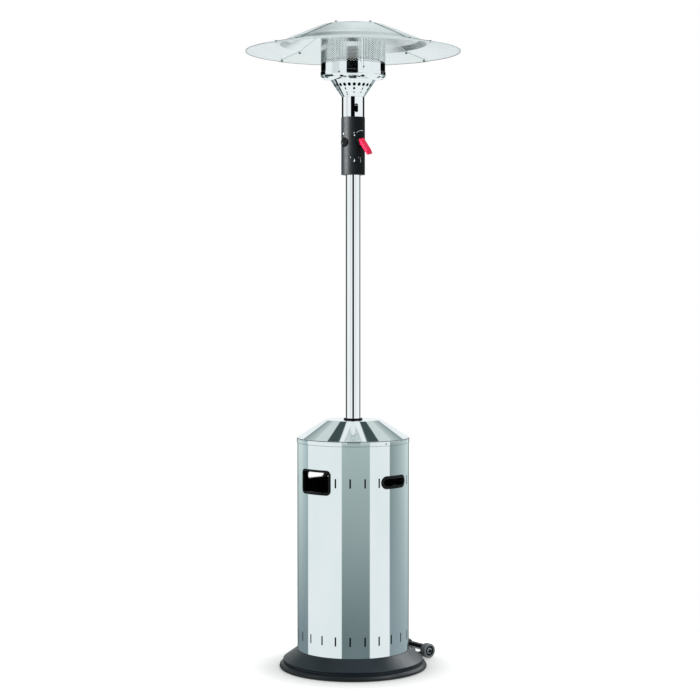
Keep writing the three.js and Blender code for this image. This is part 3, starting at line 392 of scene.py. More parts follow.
def shade_turned(mesh, crease):
    """Smooth normals for a surface turned about the pole's axis, which stay true where it is cut."""
    mesh.shade_smooth()
    limit = math.cos(math.radians(crease))
    tilts, around = {}, defaultdict(list)
    for polygon in mesh.polygons:
        radial = Vector((polygon.center.x, polygon.center.y, 0)).normalized()
        sideways = abs(polygon.normal.dot(Vector((-radial.y, radial.x, 0))))
        if sideways < 0.04:
            tilts[polygon.index] = Vector((polygon.normal.dot(radial), polygon.normal.z)).normalized()
            for vertex in polygon.vertices:
                around[vertex].append((tilts[polygon.index], polygon.area))
    normals = []
    for polygon in mesh.polygons:
        own = tilts.get(polygon.index)
        for vertex in polygon.vertices:
            if own is None:
                normals.append(polygon.normal.copy())
                continue
            tilt = sum((t * area for t, area in around[vertex] if t.dot(own) > limit), Vector((0, 0)))
            tilt = tilt.normalized() if tilt.length else own
            place = mesh.vertices[vertex].co
            radial = Vector((place.x, place.y, 0)).normalized()
            normals.append((radial * tilt.x + Vector((0, 0, tilt.y))).normalized())
    mesh.normals_split_custom_set(normals)


def shade_plain(mesh, crease):
    mesh.shade_smooth()
    mesh.set_sharp_from_angle(angle=math.radians(crease))


def soften_edges(mesh, width, sharper_than=35):
    """Small rounds on the sharp edges of a block-like mesh."""
    tidy = bmesh.new()
    tidy.from_mesh(mesh)
    edges = [e for e in tidy.edges if e.is_manifold and e.calc_face_angle() > math.radians(sharper_than)]
    bmesh.ops.bevel(tidy, geom=edges, offset=width * MM, segments=3, profile=0.6, affect="EDGES",
                    clamp_overlap=True)
    tidy.to_mesh(mesh)
    tidy.free()


def add_piece(name, source, body, material, replaces=(), turned=False, crease=32, soften=0, cutters=()):
    """A named piece of the heater: source is a shape or a mesh."""
    mesh = source if isinstance(source, bpy.types.Mesh) else to_mesh(name, source)
    if cutters:
        mesh = carved(mesh, cutters)
    if soften:
        soften_edges(mesh, soften)
    shade = shade_turned if turned else shade_plain
    shade(mesh, crease)
    mesh.name = name
    mesh.materials.clear()
    mesh.materials.append(material)
    piece = bpy.data.objects.new(name, mesh)
    scene.collection.objects.link(piece)
    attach(piece, body)
    if replaces:
        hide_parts(*replaces)
    return piece


def back_material(piece, material, is_back):
    """Gives the faces that is_back picks one more material."""
    piece.data.materials.append(material)
    for polygon in piece.data.polygons:
        if is_back(polygon):
            polygon.material_index = len(piece.data.materials) - 1


def faces_inward(polygon):
    return polygon.normal.x * polygon.center.x + polygon.normal.y * polygon.center.y < 0


# Materials


def tone(red, green, blue):
    """A colour as it shows on the screen, from 0 to 255, as the shader's own number."""
    def linear(value):
        share = value / 255
        return share / 12.92 if share <= 0.04045 else ((share + 0.055) / 1.055) ** 2.4
    return (linear(red), linear(green), linear(blue), 1)


def add_node(tree, kind, inputs=None, **settings):
    """A shader node; each input is a value, or the socket of another node that feeds it."""
    item = tree.nodes.new(kind)
    for key, value in settings.items():
        setattr(item, key, value)
    for key, value in (inputs or {}).items():
        if isinstance(value, bpy.types.NodeSocket):
            tree.links.new(value, item.inputs[key])
        else:
            item.inputs[key].default_value = value
    return item


def calculate(tree, operation, *values):
    return add_node(tree, "ShaderNodeMath", dict(enumerate(values)), operation=operation).outputs[0]


def ramp(tree, factor, stops):
    item = add_node(tree, "ShaderNodeValToRGB", {"Fac": factor})
    elements = item.color_ramp.elements
    while len(elements) > 1:
        elements.remove(elements[-1])
    elements[0].position, elements[0].color = stops[0]
    for position, colour in stops[1:]:
        elements.new(position).color = colour
    return item.outputs["Color"]


class Finish:
    """A material with one main shader, and patterns that feed it."""

    def __init__(self, name, colour, roughness, metallic=0, **sockets):
        self.material = bpy.data.materials.new(name)
        self.material.use_nodes = True
        self.tree = self.material.node_tree
        self.shader = self.tree.nodes["Principled BSDF"]
        self.shader.inputs["Base Color"].default_value = colour
        self.shader.inputs["Roughness"].default_value = roughness
        self.shader.inputs["Metallic"].default_value = metallic
        for socket, value in sockets.items():
            self.shader.inputs[socket.replace("_", " ")].default_value = value
        self.place = self.node("ShaderNodeTexCoord").outputs["Object"]

    def node(self, kind, inputs=None, **settings):
        return add_node(self.tree, kind, inputs, **settings)

    def noise(self, scale, detail=2, stretch=(1, 1, 1), place=None):
        mapped = self.node("ShaderNodeMapping", {"Vector": place or self.place, "Scale": stretch})
        inputs = {"Vector": mapped.outputs[0], "Scale": scale, "Detail": detail}
        return self.node("ShaderNodeTexNoise", inputs).outputs[0]

    def spread(self, source, low, high, start=0.3, end=0.7):
        inputs = {"Value": source, "From Min": start, "From Max": end, "To Min": low, "To Max": high}
        return self.node("ShaderNodeMapRange", inputs).outputs[0]

    def link(self, socket, source):
        self.tree.links.new(source, self.shader.inputs[socket])

    def mottle(self, source, dark, light):
        self.link("Base Color", ramp(self.tree, source, [(0.3, dark), (0.7, light)]))

    def bump(self, source, height, strength):
        inputs = {"Height": source, "Distance": height * MM, "Strength": strength}
        self.link("Normal", self.node("ShaderNodeBump", inputs).outputs[0])

    def about_axis(self):
        """The distance from the pole's axis and the turn about it."""
        x, y = self.node("ShaderNodeSeparateXYZ", {0: self.place}).outputs[:2]
        flat = self.node("ShaderNodeCombineXYZ", {0: x, 1: y}).outputs[0]
        distance = self.node("ShaderNodeVectorMath", {0: flat}, operation="LENGTH").outputs["Value"]
        return distance, calculate(self.tree, "ARCTAN2", y, x)


def clouded(name, colours, roughness, metallic=0, cloud=(14, 4), height=1, rough=None, grain=None, **sockets):
    """A material clouded between its first and last colour.

    The cloud has a scale and a detail, and height stretches it upright. The roughness can follow it, and the
    grain is a finer relief: its scale, detail, upright stretch, depth and strength.
    """
    dark, middle, light = colours
    finish = Finish(name, middle, roughness, metallic, **sockets)
    pattern = finish.noise(*cloud, (1, 1, height))
    finish.mottle(pattern, dark, light)
    if rough:
        finish.link("Roughness", finish.spread(pattern, *rough))
    if grain:
        scale, detail, upward, depth, strength = grain
        finish.bump(finish.noise(scale, detail, (1, 1, upward)), depth, strength)
    return finish.material


def shades(dark, middle, light):
    return [tone(*colour) for colour in (dark, middle, light)]


def moulded(name, colour, roughness, grain=2200, depth=0.03, **sockets):
    """A moulded plastic or rubber with a fine spark-eroded grain."""
    middle = tone(*colour)
    darker = tuple(0.86 * value for value in middle[:3]) + (1,)
    return clouded(name, (darker, middle, middle), roughness, cloud=(60, 3),
                   rough=(roughness - 0.04, roughness + 0.05), grain=(grain, 3, 1, depth, 0.5), **sockets)


def plated_steel(name, share=1):
    """Zinc plating; a share below one is the duller plating of small screws."""
    dark, middle, light = [
        tone(*[share * value for value in colour])
        for colour in ((186, 191, 194), (198, 203, 205), (212, 216, 218))
    ]
    finish = Finish(name, middle, 0.34, 1)
    spangle = finish.node("ShaderNodeTexVoronoi", {"Vector": finish.place, "Scale": 160}).outputs["Distance"]
    finish.mottle(spangle, dark, light)
    finish.link("Roughness", finish.spread(finish.noise(220, 3), 0.26, 0.44))
    finish.bump(finish.noise(1400, 2), 0.02, 0.3)
    return finish.material


def brushed_aluminium():
    finish = Finish("brushed_aluminium", tone(240, 245, 245), 0.3, 1, Anisotropic=0.55)
    around = finish.node("ShaderNodeCombineXYZ", dict(enumerate(finish.about_axis()))).outputs[0]
    fine = finish.noise(1, 3, (1500, 5, 1), around)
    broad = finish.noise(1, 3, (130, 1.6, 1), around)
    half = calculate(finish.tree, "MULTIPLY", calculate(finish.tree, "ADD", fine, broad), 0.5)
    finish.mottle(half, tone(226, 233, 233), tone(246, 250, 250))
    finish.link("Roughness", finish.spread(half, 0.22, 0.36))
    finish.bump(fine, 0.01, 0.35)
    tangent = finish.node("ShaderNodeTangent", direction_type="RADIAL", axis="Z")
    finish.link("Tangent", tangent.outputs[0])
    return finish.material


STEEL = clouded(
    "polished_steel", shades((234, 240, 241), (238, 243, 244), (242, 246, 247)), 0.04, 1,
    cloud=(9, 4), height=0.35, rough=(0.025, 0.06), grain=(1800, 2, 0.05, 0.002, 0.25),
)
# The backs of the steel sheets, coloured near black: painted shade inside the housing, lid, tubes, cone and
# screen
INNER_PAINTED_SHADE = clouded(
    "inner_steel_painted_shade", shades((14, 16, 17), (18, 20, 21), (24, 26, 27)), 0.6, 0.1,
    cloud=(14, 4), rough=(0.5, 0.7),
)
CHROME = clouded(
    "mirror_chrome", shades((244, 247, 247), (247, 249, 249), (250, 251, 251)), 0.02, 1,
    cloud=(14, 3), height=0.3, rough=(0.012, 0.035),
)
PLATED = plated_steel("plated_steel")
PAINT = clouded(
    "base_paint", shades((23, 34, 41), (25, 36, 43), (28, 39, 46)), 0.4,
    cloud=(16, 4), rough=(0.33, 0.42), grain=(700, 2, 1, 0.06, 0.35), Specular_IOR_Level=0.3,
)
FASTENER = plated_steel("fastener_steel", 0.62)
EDGE = moulded("edge_plastic", (20, 26, 30), 0.42, Specular_IOR_Level=0.25)
BLACK = moulded("black_plastic", (11, 15, 18), 0.46, depth=0.02, Specular_IOR_Level=0.12)
GLOSS_BLACK = moulded("gloss_black", (10, 12, 13), 0.3, depth=0.008, Specular_IOR_Level=0.15)
RUBBER = moulded("rubber", (108, 114, 116), 0.62, 1500, 0.05, Specular_IOR_Level=0.3)
HUB_PLASTIC = moulded("hub_plastic", (142, 150, 153), 0.4)
RED = clouded(
    "red_plastic", shades((246, 14, 70), (250, 18, 76), (253, 24, 84)), 0.34,
    cloud=(120, 2), grain=(900, 2, 1, 0.02, 0.2), Specular_IOR_Level=0.5,
)
BRASS = clouded(
    "turned_brass", shades((180, 146, 86), (203, 170, 108), (214, 182, 120)), 0.3, 1,
    cloud=(90, 3), rough=(0.22, 0.4),
)
ALUMINIUM = brushed_aluminium()
# Dark grey metal on the reflector's hems and seam edges, the lid's lip and the band's top: painted shade in
# the gaps and under the rolled edges
HEM_PAINTED_SHADE = clouded(
    "hem_painted_shade", shades((42, 50, 50), (52, 60, 60), (62, 70, 70)), 0.3, 0.8,
    cloud=(40, 3), rough=(0.2, 0.34),
)
IRON = clouded(
    "cast_iron", shades((34, 36, 38), (44, 46, 48), (54, 56, 58)), 0.7, 0.5,
    cloud=(120, 5), grain=(600, 4, 1, 0.25, 0.6),
)
CERAMIC = clouded(
    "glazed_ceramic", shades((226, 221, 208), (236, 232, 221), (240, 237, 228)), 0.25,
    cloud=(150, 3), Coat_Weight=0.5, Coat_Roughness=0.1,
)
INK = clouded("printed_ink", shades((205, 209, 207), (225, 228, 226), (232, 234, 233)), 0.5, cloud=(900, 2))


# Base: edge ring, pan, posts, socket and wheels


def arm_notches():
    """Cutters for the two arms of the wheel bracket."""
    notch = block(ARM.width + 2 * GAP, ARM.near, ARM.far, ARM.low - GAP, ARM.low + ARM.thickness + GAP)
    turn = upright(WHEELS.azimuth)
    return [moved(notch, turn @ Matrix.Translation((side * ARM.centre, 0, 0))) for side in (-1, 1)]


def build_edge_ring():
    foot = BASE.radius - BASE.bead
    bulge = [(0.86, 0, 2), (1, 0.16, 4), (1, 0.42, 8), (0.66, 0.84, 7), (0.2, 1, 4), (0.02, 1, 1)]
    ring = spun([
        (EDGE_RING.ledge, 0),
        *[(foot + across * BASE.bead, up * EDGE_RING.height, r) for across, up, r in bulge],
        (foot, EDGE_RING.seat_height), (EDGE_RING.seat, EDGE_RING.seat_height),
        (EDGE_RING.seat, EDGE_RING.ledge_height), (EDGE_RING.ledge, EDGE_RING.ledge_height),
    ], ROUND.large)
    add_piece("edge_moulding", ring, "stand", EDGE, ["base_edge_ring"], turned=True,
              cutters=arm_notches())


def build_pan():
    skirt, crease, wall, deck, top = BASE.skirt, BASE.crease, BASE.wall, BASE.deck, BASE.height
    lip, rim = skirt + BASE.lip, top + UPSTAND.height
    shell = spun([
        (0, top), (UPSTAND.inside, top, 1), (UPSTAND.inside, rim, 0.9), (UPSTAND.outside, rim, 0.9),
        (UPSTAND.outside, top), (deck, top, 3), (lip, crease, 4), (skirt + 0.2, crease - 5, 3),
        (skirt, BASE.foot), (skirt - wall, BASE.foot), (skirt - wall, crease - 3), (lip - 5, crease),
        (deck - 3, top - wall), (0, top - wall),
    ], ROUND.large)
    hole = rod(POST.hole, -POST.hole_reach, POST.hole_reach, ROUND.small)
    holes = [moved(hole, upright(azimuth, POST.circle, top)) for azimuth in POST_AZIMUTHS.values()]
    add_piece("base_shell", shell, "stand", PAINT, ["base_pan"], turned=True,
              cutters=[*holes, *arm_notches()])


def build_posts():
    top = BRACKET.low - GAP
    stud_top = BRACKET.high + GAP + POST.nut_height
    bar = spun([
        (0, BALLAST_TOP), (POST.radius, BALLAST_TOP, 0.5), (POST.radius, top, 0.8), (POST.stud, top),
        (POST.stud, stud_top, 0.6), (0, stud_top),
    ], ROUND.small, 3)
    post = joined(bar, hexagon_nut(POST.nut, BRACKET.high + GAP, stud_top - 0.6))
    for side, azimuth in POST_AZIMUTHS.items():
        add_piece(f"post_{side}", moved(post, upright(azimuth, POST.circle)), "stand", PLATED,
                  [f"support_post_{side}"])


def build_socket():
    low = BRACKET.high + GAP
    top, flange_top = low + SOCKET.height, low + SOCKET.flange_height
    bore = POLE.radius + GAP
    outer = bore + SOCKET.wall
    body = spun([
        (bore, low), (SOCKET.flange, low, 0.5), (SOCKET.flange, flange_top, 0.8), (outer, flange_top, 1.5),
        (outer, top, 0.8), (bore, top, 0.5),
    ], arc_steps=3)
    nut = hexagon_nut(SOCKET.nut, flange_top, flange_top + SOCKET.nut_height)
    bolts = [moved(nut, upright(120 * i, SOCKET.bolt_circle)) for i in range(3)]
    add_piece("socket_turned", joined(body, *bolts), "stand", PLATED, ["pole_socket"])


def wheel_place(side=0):
    """Takes an upright shape to a wheel's place, with its axis along the axle."""
    along = Matrix.Translation((side * WHEELS.track, -WHEELS.centre, WHEELS.height))
    return upright(WHEELS.azimuth) @ along @ Matrix.Rotation(math.radians(90), 4, "Y")


def tyre_shape():
    half, tread, shoulder = TYRE.width / 2, TYRE.radius, TYRE.shoulder
    rim, groove, reach = tread - TYRE.wall, tread - TYRE.groove, TYRE.groove_half
    return spun(mirrored([(rim, half, 1.2), (tread, half, shoulder), (tread, reach), (groove, reach / 2)]))


def hub_shape():
    edge = TYRE.radius - TYRE.wall - GAP
    face, bore = WHEEL_HUB.face, AXLE.radius + WHEEL_HUB.play
    floor = face - WHEEL_HUB.recess
    return spun(mirrored([
        (edge, face - 1, 0.8), (edge - WHEEL_HUB.rim, face - 1, 0.5), (edge - WHEEL_HUB.web, floor, 0.8),
        (WHEEL_HUB.boss_foot, floor, 0.8), (WHEEL_HUB.boss, face, 0.9), (bore, face, 0.5),
    ]), ROUND.small, 3)


def build_wheels():
    tyre, hub = tyre_shape(), hub_shape()
    along = wheel_place().to_3x3() @ Vector((0, 0, 1))
    for name, side in (("near", -1), ("far", 1)):
        place, body = wheel_place(side), f"wheel_{name}"
        add_piece(f"tyre_{name}", moved(tyre, place), body, RUBBER, [f"wheel_tyre_{name}"])
        piece = add_piece(f"hub_{name}", moved(hub, place), body, HUB_PLASTIC,
                          [f"wheel_hub_{name}"])

        # The hub's recess round its boss is coloured black: painted shade in the hollow
        def is_painted_shade_recess(polygon, centre=place.translation * MM):
            away = polygon.center - centre
            depth = away.dot(along)
            across = (away - along * depth).length
            return across > WHEEL_HUB.dark_from * MM and abs(depth) < (WHEEL_HUB.face - 0.6) * MM

        back_material(piece, BLACK, is_painted_shade_recess)


def build_axle():
    low = WHEELS.track + TYRE.width / 2 + AXLE.play
    high = low + AXLE.head_height
    end = [(AXLE.radius, low), (AXLE.head, low, 0.5), (AXLE.head, high, 1.6), (0, high)]
    place = wheel_place()
    shape = moved(spun(mirrored(end), ROUND.small, 3), place)
    axle = add_piece("axle_turned", shape, "stand", PLATED, ["wheel_axle"])
    middle = place.translation * MM
    back_material(axle, BLACK, lambda polygon: (polygon.center - middle).length > (low - 0.5) * MM)


# Bottle housing


def opening_cutter(size, azimuth):
    near, far = SHELL.radius - SHELL.wall - OPENING_REACH, SHELL.radius + OVERRUN
    inset = size.frame / 2 - GAP
    corner = min(size.corner, size.height / 2 - 0.01) - inset
    outline = rounded_rectangle(size.width - 2 * inset, size.height - 2 * inset, corner, OPENING_HEIGHT)
    return moved(prism(outline, near, far), upright(azimuth))


def is_clear(azimuth):
    """Whether a slot at the openings' height misses the window and the grips."""
    for _, size, centre in HOUSING_OPENINGS:
        away = abs((azimuth - centre + 180) % 360 - 180)
        if away <= math.degrees(math.asin(size.width / 2 / SHELL.radius)) + SLOTS.clearance:
            return False
    return True


def slot_cutters():
    every = [SLOTS.phase + 360 * i / SLOTS.count for i in range(SLOTS.count)]
    cutters = []
    for height, azimuths in ((SLOTS.low, every), (OPENING_HEIGHT, filter(is_clear, every))):
        outline = rounded_rectangle(SLOTS.width, SLOTS.height, SLOTS.corner, height, 3)
        cut = prism(outline, SHELL.radius - OVERRUN, SHELL.radius + OVERRUN)
        cutters += [moved(cut, upright(azimuth)) for azimuth in azimuths]
    return cutters


def build_shell():
    inside = SHELL.radius - SHELL.wall
    near, far = inside - OVERRUN, SHELL.radius + OVERRUN
    wall = lathe(tube_profile(inside, SHELL.radius, SHELL.low, SHELL.high, 0.35), ROUND.mirror)
    windows = [opening_cutter(size, azimuth) for _, size, azimuth in HOUSING_OPENINGS]
    slit = block(STRIP.slit, near, far, SHELL.low - OVERRUN, SHELL.high + OVERRUN)
    slit = moved(slit, upright(STRIP.azimuth))
    hole = rod(STRIP_SCREW.hole, near, far)
    holes = [moved(hole, outward(STRIP.azimuth, height)) for height in STRIP_SCREW_HEIGHTS]
    piece = add_piece("housing_sheet", wall, "housing", STEEL, ["housing_shell"], turned=True,
                      cutters=[*windows, *slot_cutters(), slit, *holes])
    # The inner faces get the near-black painted shade of the hollow housing
    back_material(piece, INNER_PAINTED_SHADE, faces_inward)


def build_strip():
    outer = SHELL.radius - SHELL.wall - GAP
    near = SHELL.radius + GAP
    half = math.degrees(STRIP.width / 2 / outer)
    profile = tube_profile(outer - STRIP.wall, outer, STRIP.low, STRIP.high)
    wall = lathe(profile, 12, STRIP.azimuth - half, 2 * half)
    shank = rod(STRIP_SCREW.radius, outer - 2, near + 0.2)
    screw = joined(shank, screw_head(STRIP_SCREW.head, near, STRIP_SCREW.height))
    screws = [moved(screw, outward(STRIP.azimuth, height)) for height in STRIP_SCREW_HEIGHTS]
    add_piece("strip_with_screws", joined(wall, *screws), "housing", PLATED, ["closing_strip"])


def trim_outline(size, corner):
    """Centres and directions round an opening, in the flat: corner arcs, and stretches above and below."""
    outline = []
    for i, (across, up) in enumerate(CORNERS):
        centre = Vector((across * (size.width / 2 - corner), up * (size.height / 2 - corner)))
        for k in range(TRIM.arc_steps + 1):
            angle = math.pi / 2 * (i + k / TRIM.arc_steps)
            outline.append((centre, Vector((math.cos(angle), math.sin(angle)))))
        if i % 2 == 0:
            toward = Vector((-centre.x, centre.y))
            for k in range(1, TRIM.straight_steps):
                outline.append((centre.lerp(toward, k / TRIM.straight_steps), Vector((0, up))))
    return outline


def build_trim(name, size, azimuth):
    """A black frame that follows the housing's round wall, with a soft flange and a lining."""
    back = SHELL.radius + GAP
    front = back + TRIM.flange
    inner_end = SHELL.radius - SHELL.wall - size.depth
    middle, hole = size.frame / 2, size.frame
    section = rounded([
        (0, back, 0.3), (0, front - 0.3, 1.1), (middle, front + 0.5, 4), (hole, front - 0.2, 1.4),
        (hole, inner_end, 0.5), (middle, inner_end, 0.5), (middle, back),
    ], 4)
    corner = min(size.corner, size.height / 2 - 0.01)
    outline = trim_outline(size, corner)
    verts = []
    for centre, direction in outline:
        for inset, radius in section:
            x, z = centre + direction * (corner - inset)
            verts.append(Vector((x, -math.sqrt(radius ** 2 - x ** 2), OPENING_HEIGHT + z)))
    shape = moved((verts, skin(len(section), len(outline), closed=True)), upright(azimuth))
    add_piece(f"{name}_frame", shape, "housing", GLOSS_BLACK, [name], crease=50)


def build_lid():
    edge, wall, base, top = SHELL.radius, LID.wall, LID.base, LID.top
    inside = edge - SHELL.wall - GAP
    skirt_inside, skirt_low = inside - wall, base - LID.skirt
    lip = edge + GAP + BAND.wall
    slope = (top - base - wall) / (edge - LID.top_radius)
    cone_at = base + wall + (edge - skirt_inside) * slope - wall * math.hypot(1, slope)
    lid = spun([
        (LID.hole, top, 0.4), (LID.top_radius, top, 5), (edge, base + wall, 2.5), (lip, base + wall, 0.5),
        (lip, base, 0.4), (inside, base), (inside, skirt_low, 0.4), (skirt_inside, skirt_low, 0.4),
        (skirt_inside, cone_at), (LID.top_radius - 1, top - wall), (LID.hole, top - wall, 0.4),
    ], ROUND.mirror)
    piece = add_piece("lid_spun", lid, "housing", STEEL, ["lid_cone"], turned=True)
    # The lid's underside and inner faces are near black: painted shade inside the lid
    back_material(piece, INNER_PAINTED_SHADE, lambda polygon: polygon.normal.z < -0.2 or faces_inward(polygon))
    # The lid's outer lip is dark grey: a painted shade line at its joint with the band
    back_material(piece, HEM_PAINTED_SHADE, lambda polygon: polygon.center.to_2d().length > LID.dark_from * MM)


def build_band():
    inner = SHELL.radius + GAP
    outer = inner + BAND.wall
    half_joint = math.degrees(BAND.joint_gap / 2 / outer)
    profile = rounded([
        (inner, BAND.low, 0.3), (outer, BAND.low + 1.6, 1), (outer, BAND.high, 0.8), (inner, BAND.high, 0.3),
    ], 4)
    hoop = lathe(profile, ROUND.mirror, BAND.joint + half_joint, 360 - 2 * half_joint)
    piece = add_piece("band_hoop", hoop, "housing", STEEL, ["lid_band"], turned=True)
    # The band's lower and inner faces are near black: a painted shadow line under the band
    back_material(piece, INNER_PAINTED_SHADE, lambda polygon: polygon.normal.z < -0.3 or faces_inward(polygon))
    # The band's top faces are dark grey: a painted shade line at its joint with the lid
    back_material(piece, HEM_PAINTED_SHADE, lambda polygon: polygon.normal.z > 0.3)
    head = screw_head(BAND_SCREW.head, inner + BAND_SCREW.seat, BAND_SCREW.height)
    place = outward(BAND_SCREW.azimuth, (BAND.low + BAND.high) / 2)
    add_piece("band_screw", moved(head, place), "housing", FASTENER)


def build_collar():
    bore, outside = POLE.radius + COLLAR.play, LID.hole - GAP
    collar = spun([
        (bore, COLLAR.foot, 0.5), (outside, COLLAR.foot, 0.5), (outside, COLLAR.low),
        (COLLAR.flange, COLLAR.low, 0.5), (COLLAR.flange, COLLAR.high, 1.6), (bore, COLLAR.high, 0.8),
    ])
    add_piece("collar_bush", collar, "housing", BLACK, ["pole_collar"], turned=True)


# Pole and control head


def build_pole():
    tube = lathe(tube_profile(POLE.radius - POLE.wall, POLE.radius, POLE.low, POLE.high), ROUND.mirror)
    add_piece("pole_tube", tube, "stand", CHROME, ["pole"], turned=True)
    adapter = lathe(tube_profile(POLE.radius + GAP, ADAPTER.radius, ADAPTER.low, ADAPTER.high, 0.8))
    add_piece("adapter_ring", adapter, "stand", BLACK, ["pole_adapter"], turned=True)


def head_cutters():
    return [
        moved(rod(CONTROL.hole, *HEAD_CUT, ROUND.small), outward(CONTROL.azimuth, CONTROL.height)),
        moved(rod(BEZEL.radius + GAP, *HEAD_CUT, ROUND.middle), outward(BUTTON.azimuth, BUTTON.height)),
    ]


def build_head_tubes():
    slot = rounded_rectangle(PORT.width, PORT.length, PORT.width / 2 - 0.01, PORT.height, 10)
    port = moved(prism(slot, PORT.near, PORT.far), upright(PORT.azimuth))
    tube = lathe(tube_profile(TUBE.radius - TUBE.wall, TUBE.radius, HEAD_LOW, TUBE.top), ROUND.mirror)
    piece = add_piece("head_tube", tube, "stand", CHROME, ["control_tube"], turned=True,
                      cutters=[port, *head_cutters()])
    # The tube's inner faces get the near-black painted shade
    back_material(piece, INNER_PAINTED_SHADE, faces_inward)
    inner, outer = COVER.radius - COVER.wall, COVER.radius
    cover = spun([
        (inner, HEAD_LOW, 0.3), (outer, HEAD_LOW, 0.9), (outer, COVER.top, 1.1), (inner, COVER.top, 0.3),
    ], ROUND.large)
    add_piece("head_cover", cover, "stand", BLACK, ["control_cover"], turned=True,
              cutters=head_cutters())


def moved_mesh(mesh, matrix):
    """A mesh in metres, moved by a matrix in millimetres."""
    scaled = matrix.copy()
    scaled.translation = matrix.translation * MM
    mesh.transform(scaled)
    return mesh


def lever_bar():
    """The lever as one outline in its own upright plane: root in the hub, bar, and a slanted tip facet."""
    near, far, above, below = LEVER.near, LEVER.far, LEVER.above, LEVER.below
    tilt = math.radians(LEVER.tilt)
    down = Vector((math.sin(tilt), -math.cos(tilt)))
    thick = Vector((math.cos(tilt), math.sin(tilt))) * LEVER.thickness / 2
    root = Vector((far, 0))
    end = root + down * LEVER.length
    facet = 1 - LEVER_TIP.depth / (LEVER.thickness / 2)
    side = [
        (near, -below), (far - 1.2, -below), root - thick + down * LEVER_TIP.root_back, end - thick,
        end + thick * facet, end - down * LEVER_TIP.facet + thick, root + thick + down * LEVER_TIP.root_front,
        (far + 1, above - 3), (far - 1.6, above), (near, above),
    ]
    verts = [Vector((x, -radius, z)) for x in (LEVER.width / 2, -LEVER.width / 2) for radius, z in side]
    return verts, skin(len(side), 2)


def build_lever():
    bore, near, far = CONTROL.bore, LEVER_HUB.near, LEVER_HUB.far
    sleeve = lathe(tube_profile(bore, SLEEVE.radius, SLEEVE.near, near - GAP, 0.3), ROUND.small)
    place = outward(CONTROL.azimuth, CONTROL.height)
    add_piece("sleeve_turned", moved(sleeve, place), "press", BLACK, ["press_sleeve"])
    turned = outward(CONTROL.azimuth, CONTROL.height, CONTROL.turn)
    upside = Matrix.Rotation(math.radians(-90), 4, "X")
    outline = [(bore, near), (LEVER_HUB.radius, near, 0.5), (LEVER_HUB.radius, far, 1.8), (bore, far, 0.3)]
    slot = block(LEVER.width + 0.6, LEVER_HUB.slot, far + 6, LEVER_HUB.slot_foot, LEVER.above + 0.3)
    hub = moved_mesh(carved(to_mesh("hub", spun(outline)), [moved(slot, upside)]), turned)
    add_piece("hub_turned", hub, "lever", BLACK, ["lever_hub"], crease=40)
    add_piece("lever_handle", moved(lever_bar(), turned @ upside), "lever", RED,
              ["control_lever"], soften=0.9, crease=50)


def build_button():
    place = outward(BUTTON.azimuth, BUTTON.height)
    radius, far = BUTTON.radius, BUTTON.far
    bore = radius + 0.5
    bezel = spun([
        (bore, BEZEL.near), (BEZEL.radius, BEZEL.near), (BEZEL.radius, BEZEL.far, 1), (bore, BEZEL.far, 0.7),
    ])
    add_piece("bezel_moulded", moved(bezel, place), "stand", BLACK, ["button_bezel"])
    cap = spun([
        (0, BUTTON.near), (radius, BUTTON.near, 0.5), (radius, far, 1.4), (BUTTON.dish, far, 0.8),
        (BUTTON.floor, far - 1, 4), (0, far - BUTTON.depth),
    ])
    add_piece("button_cap", moved(cap, place), "igniter_button", GLOSS_BLACK,
              ["ignition_button"])


# Printed marks on the control cover


def degrees_along(millimetres):
    return math.degrees(millimetres / COVER.radius)


def wrapped_patch(azimuth, height, outline):
    """A flat outline of (across, up) round a place on the cover, as a thin skin."""
    radius = COVER.radius + INK_LIFT
    points = [(azimuth + degrees_along(across), height + up) for across, up in outline]
    verts = [turn_point(radius, turn, z) for turn, z in points]
    count = len(verts)
    middle = sum(turn for turn, _ in points) / count
    verts.append(turn_point(radius + 0.02, middle, sum(z for _, z in points) / count))
    return verts, [[i, (i + 1) % count, count] for i in range(count)]


def circle_shares():
    """Cosines and sines round a circle."""
    angles = [2 * math.pi * k / MARK_STEPS for k in range(MARK_STEPS)]
    return [(math.cos(angle), math.sin(angle)) for angle in angles]


def ellipse_mark(azimuth, height, across, up):
    return wrapped_patch(azimuth, height, [(across / 2 * cos, up / 2 * sin) for cos, sin in circle_shares()])


def flame_mark(azimuth, height, size):
    """A plain drop with its point up."""
    outline = []
    for cos, sin in circle_shares():
        pinch = 1 if sin < 0 else (1 - sin) ** 0.8
        up = 0.5 * sin if sin < 0 else 1.1 * sin
        outline.append((0.45 * size * cos * pinch, size * up * 0.8))
    return wrapped_patch(azimuth, height, outline)


def arc_mark(steps=24):
    """A widening arc round the lever's hub, as pairs of points along it."""
    verts = []
    for k in range(steps + 1):
        angle, radius, width = [
            first + (last - first) * k / steps for first, last in (ARC.angles, ARC.radii, ARC.widths)
        ]
        cos, sin = math.cos(math.radians(angle)), math.sin(math.radians(angle))
        for reach in (radius - width / 2, radius + width / 2):
            azimuth = ARC.azimuth + degrees_along(reach * cos)
            verts.append(turn_point(COVER.radius + INK_LIFT, azimuth, ARC.height + reach * sin))
    return verts, [[2 * k, 2 * k + 1, 2 * k + 3, 2 * k + 2] for k in range(steps)]


def build_marks():
    marks = [*[ellipse_mark(*mark) for mark in ELLIPSES], *[flame_mark(*mark) for mark in FLAMES], arc_mark()]
    add_piece("cover_marks", joined(*marks), "stand", INK)


# Burner


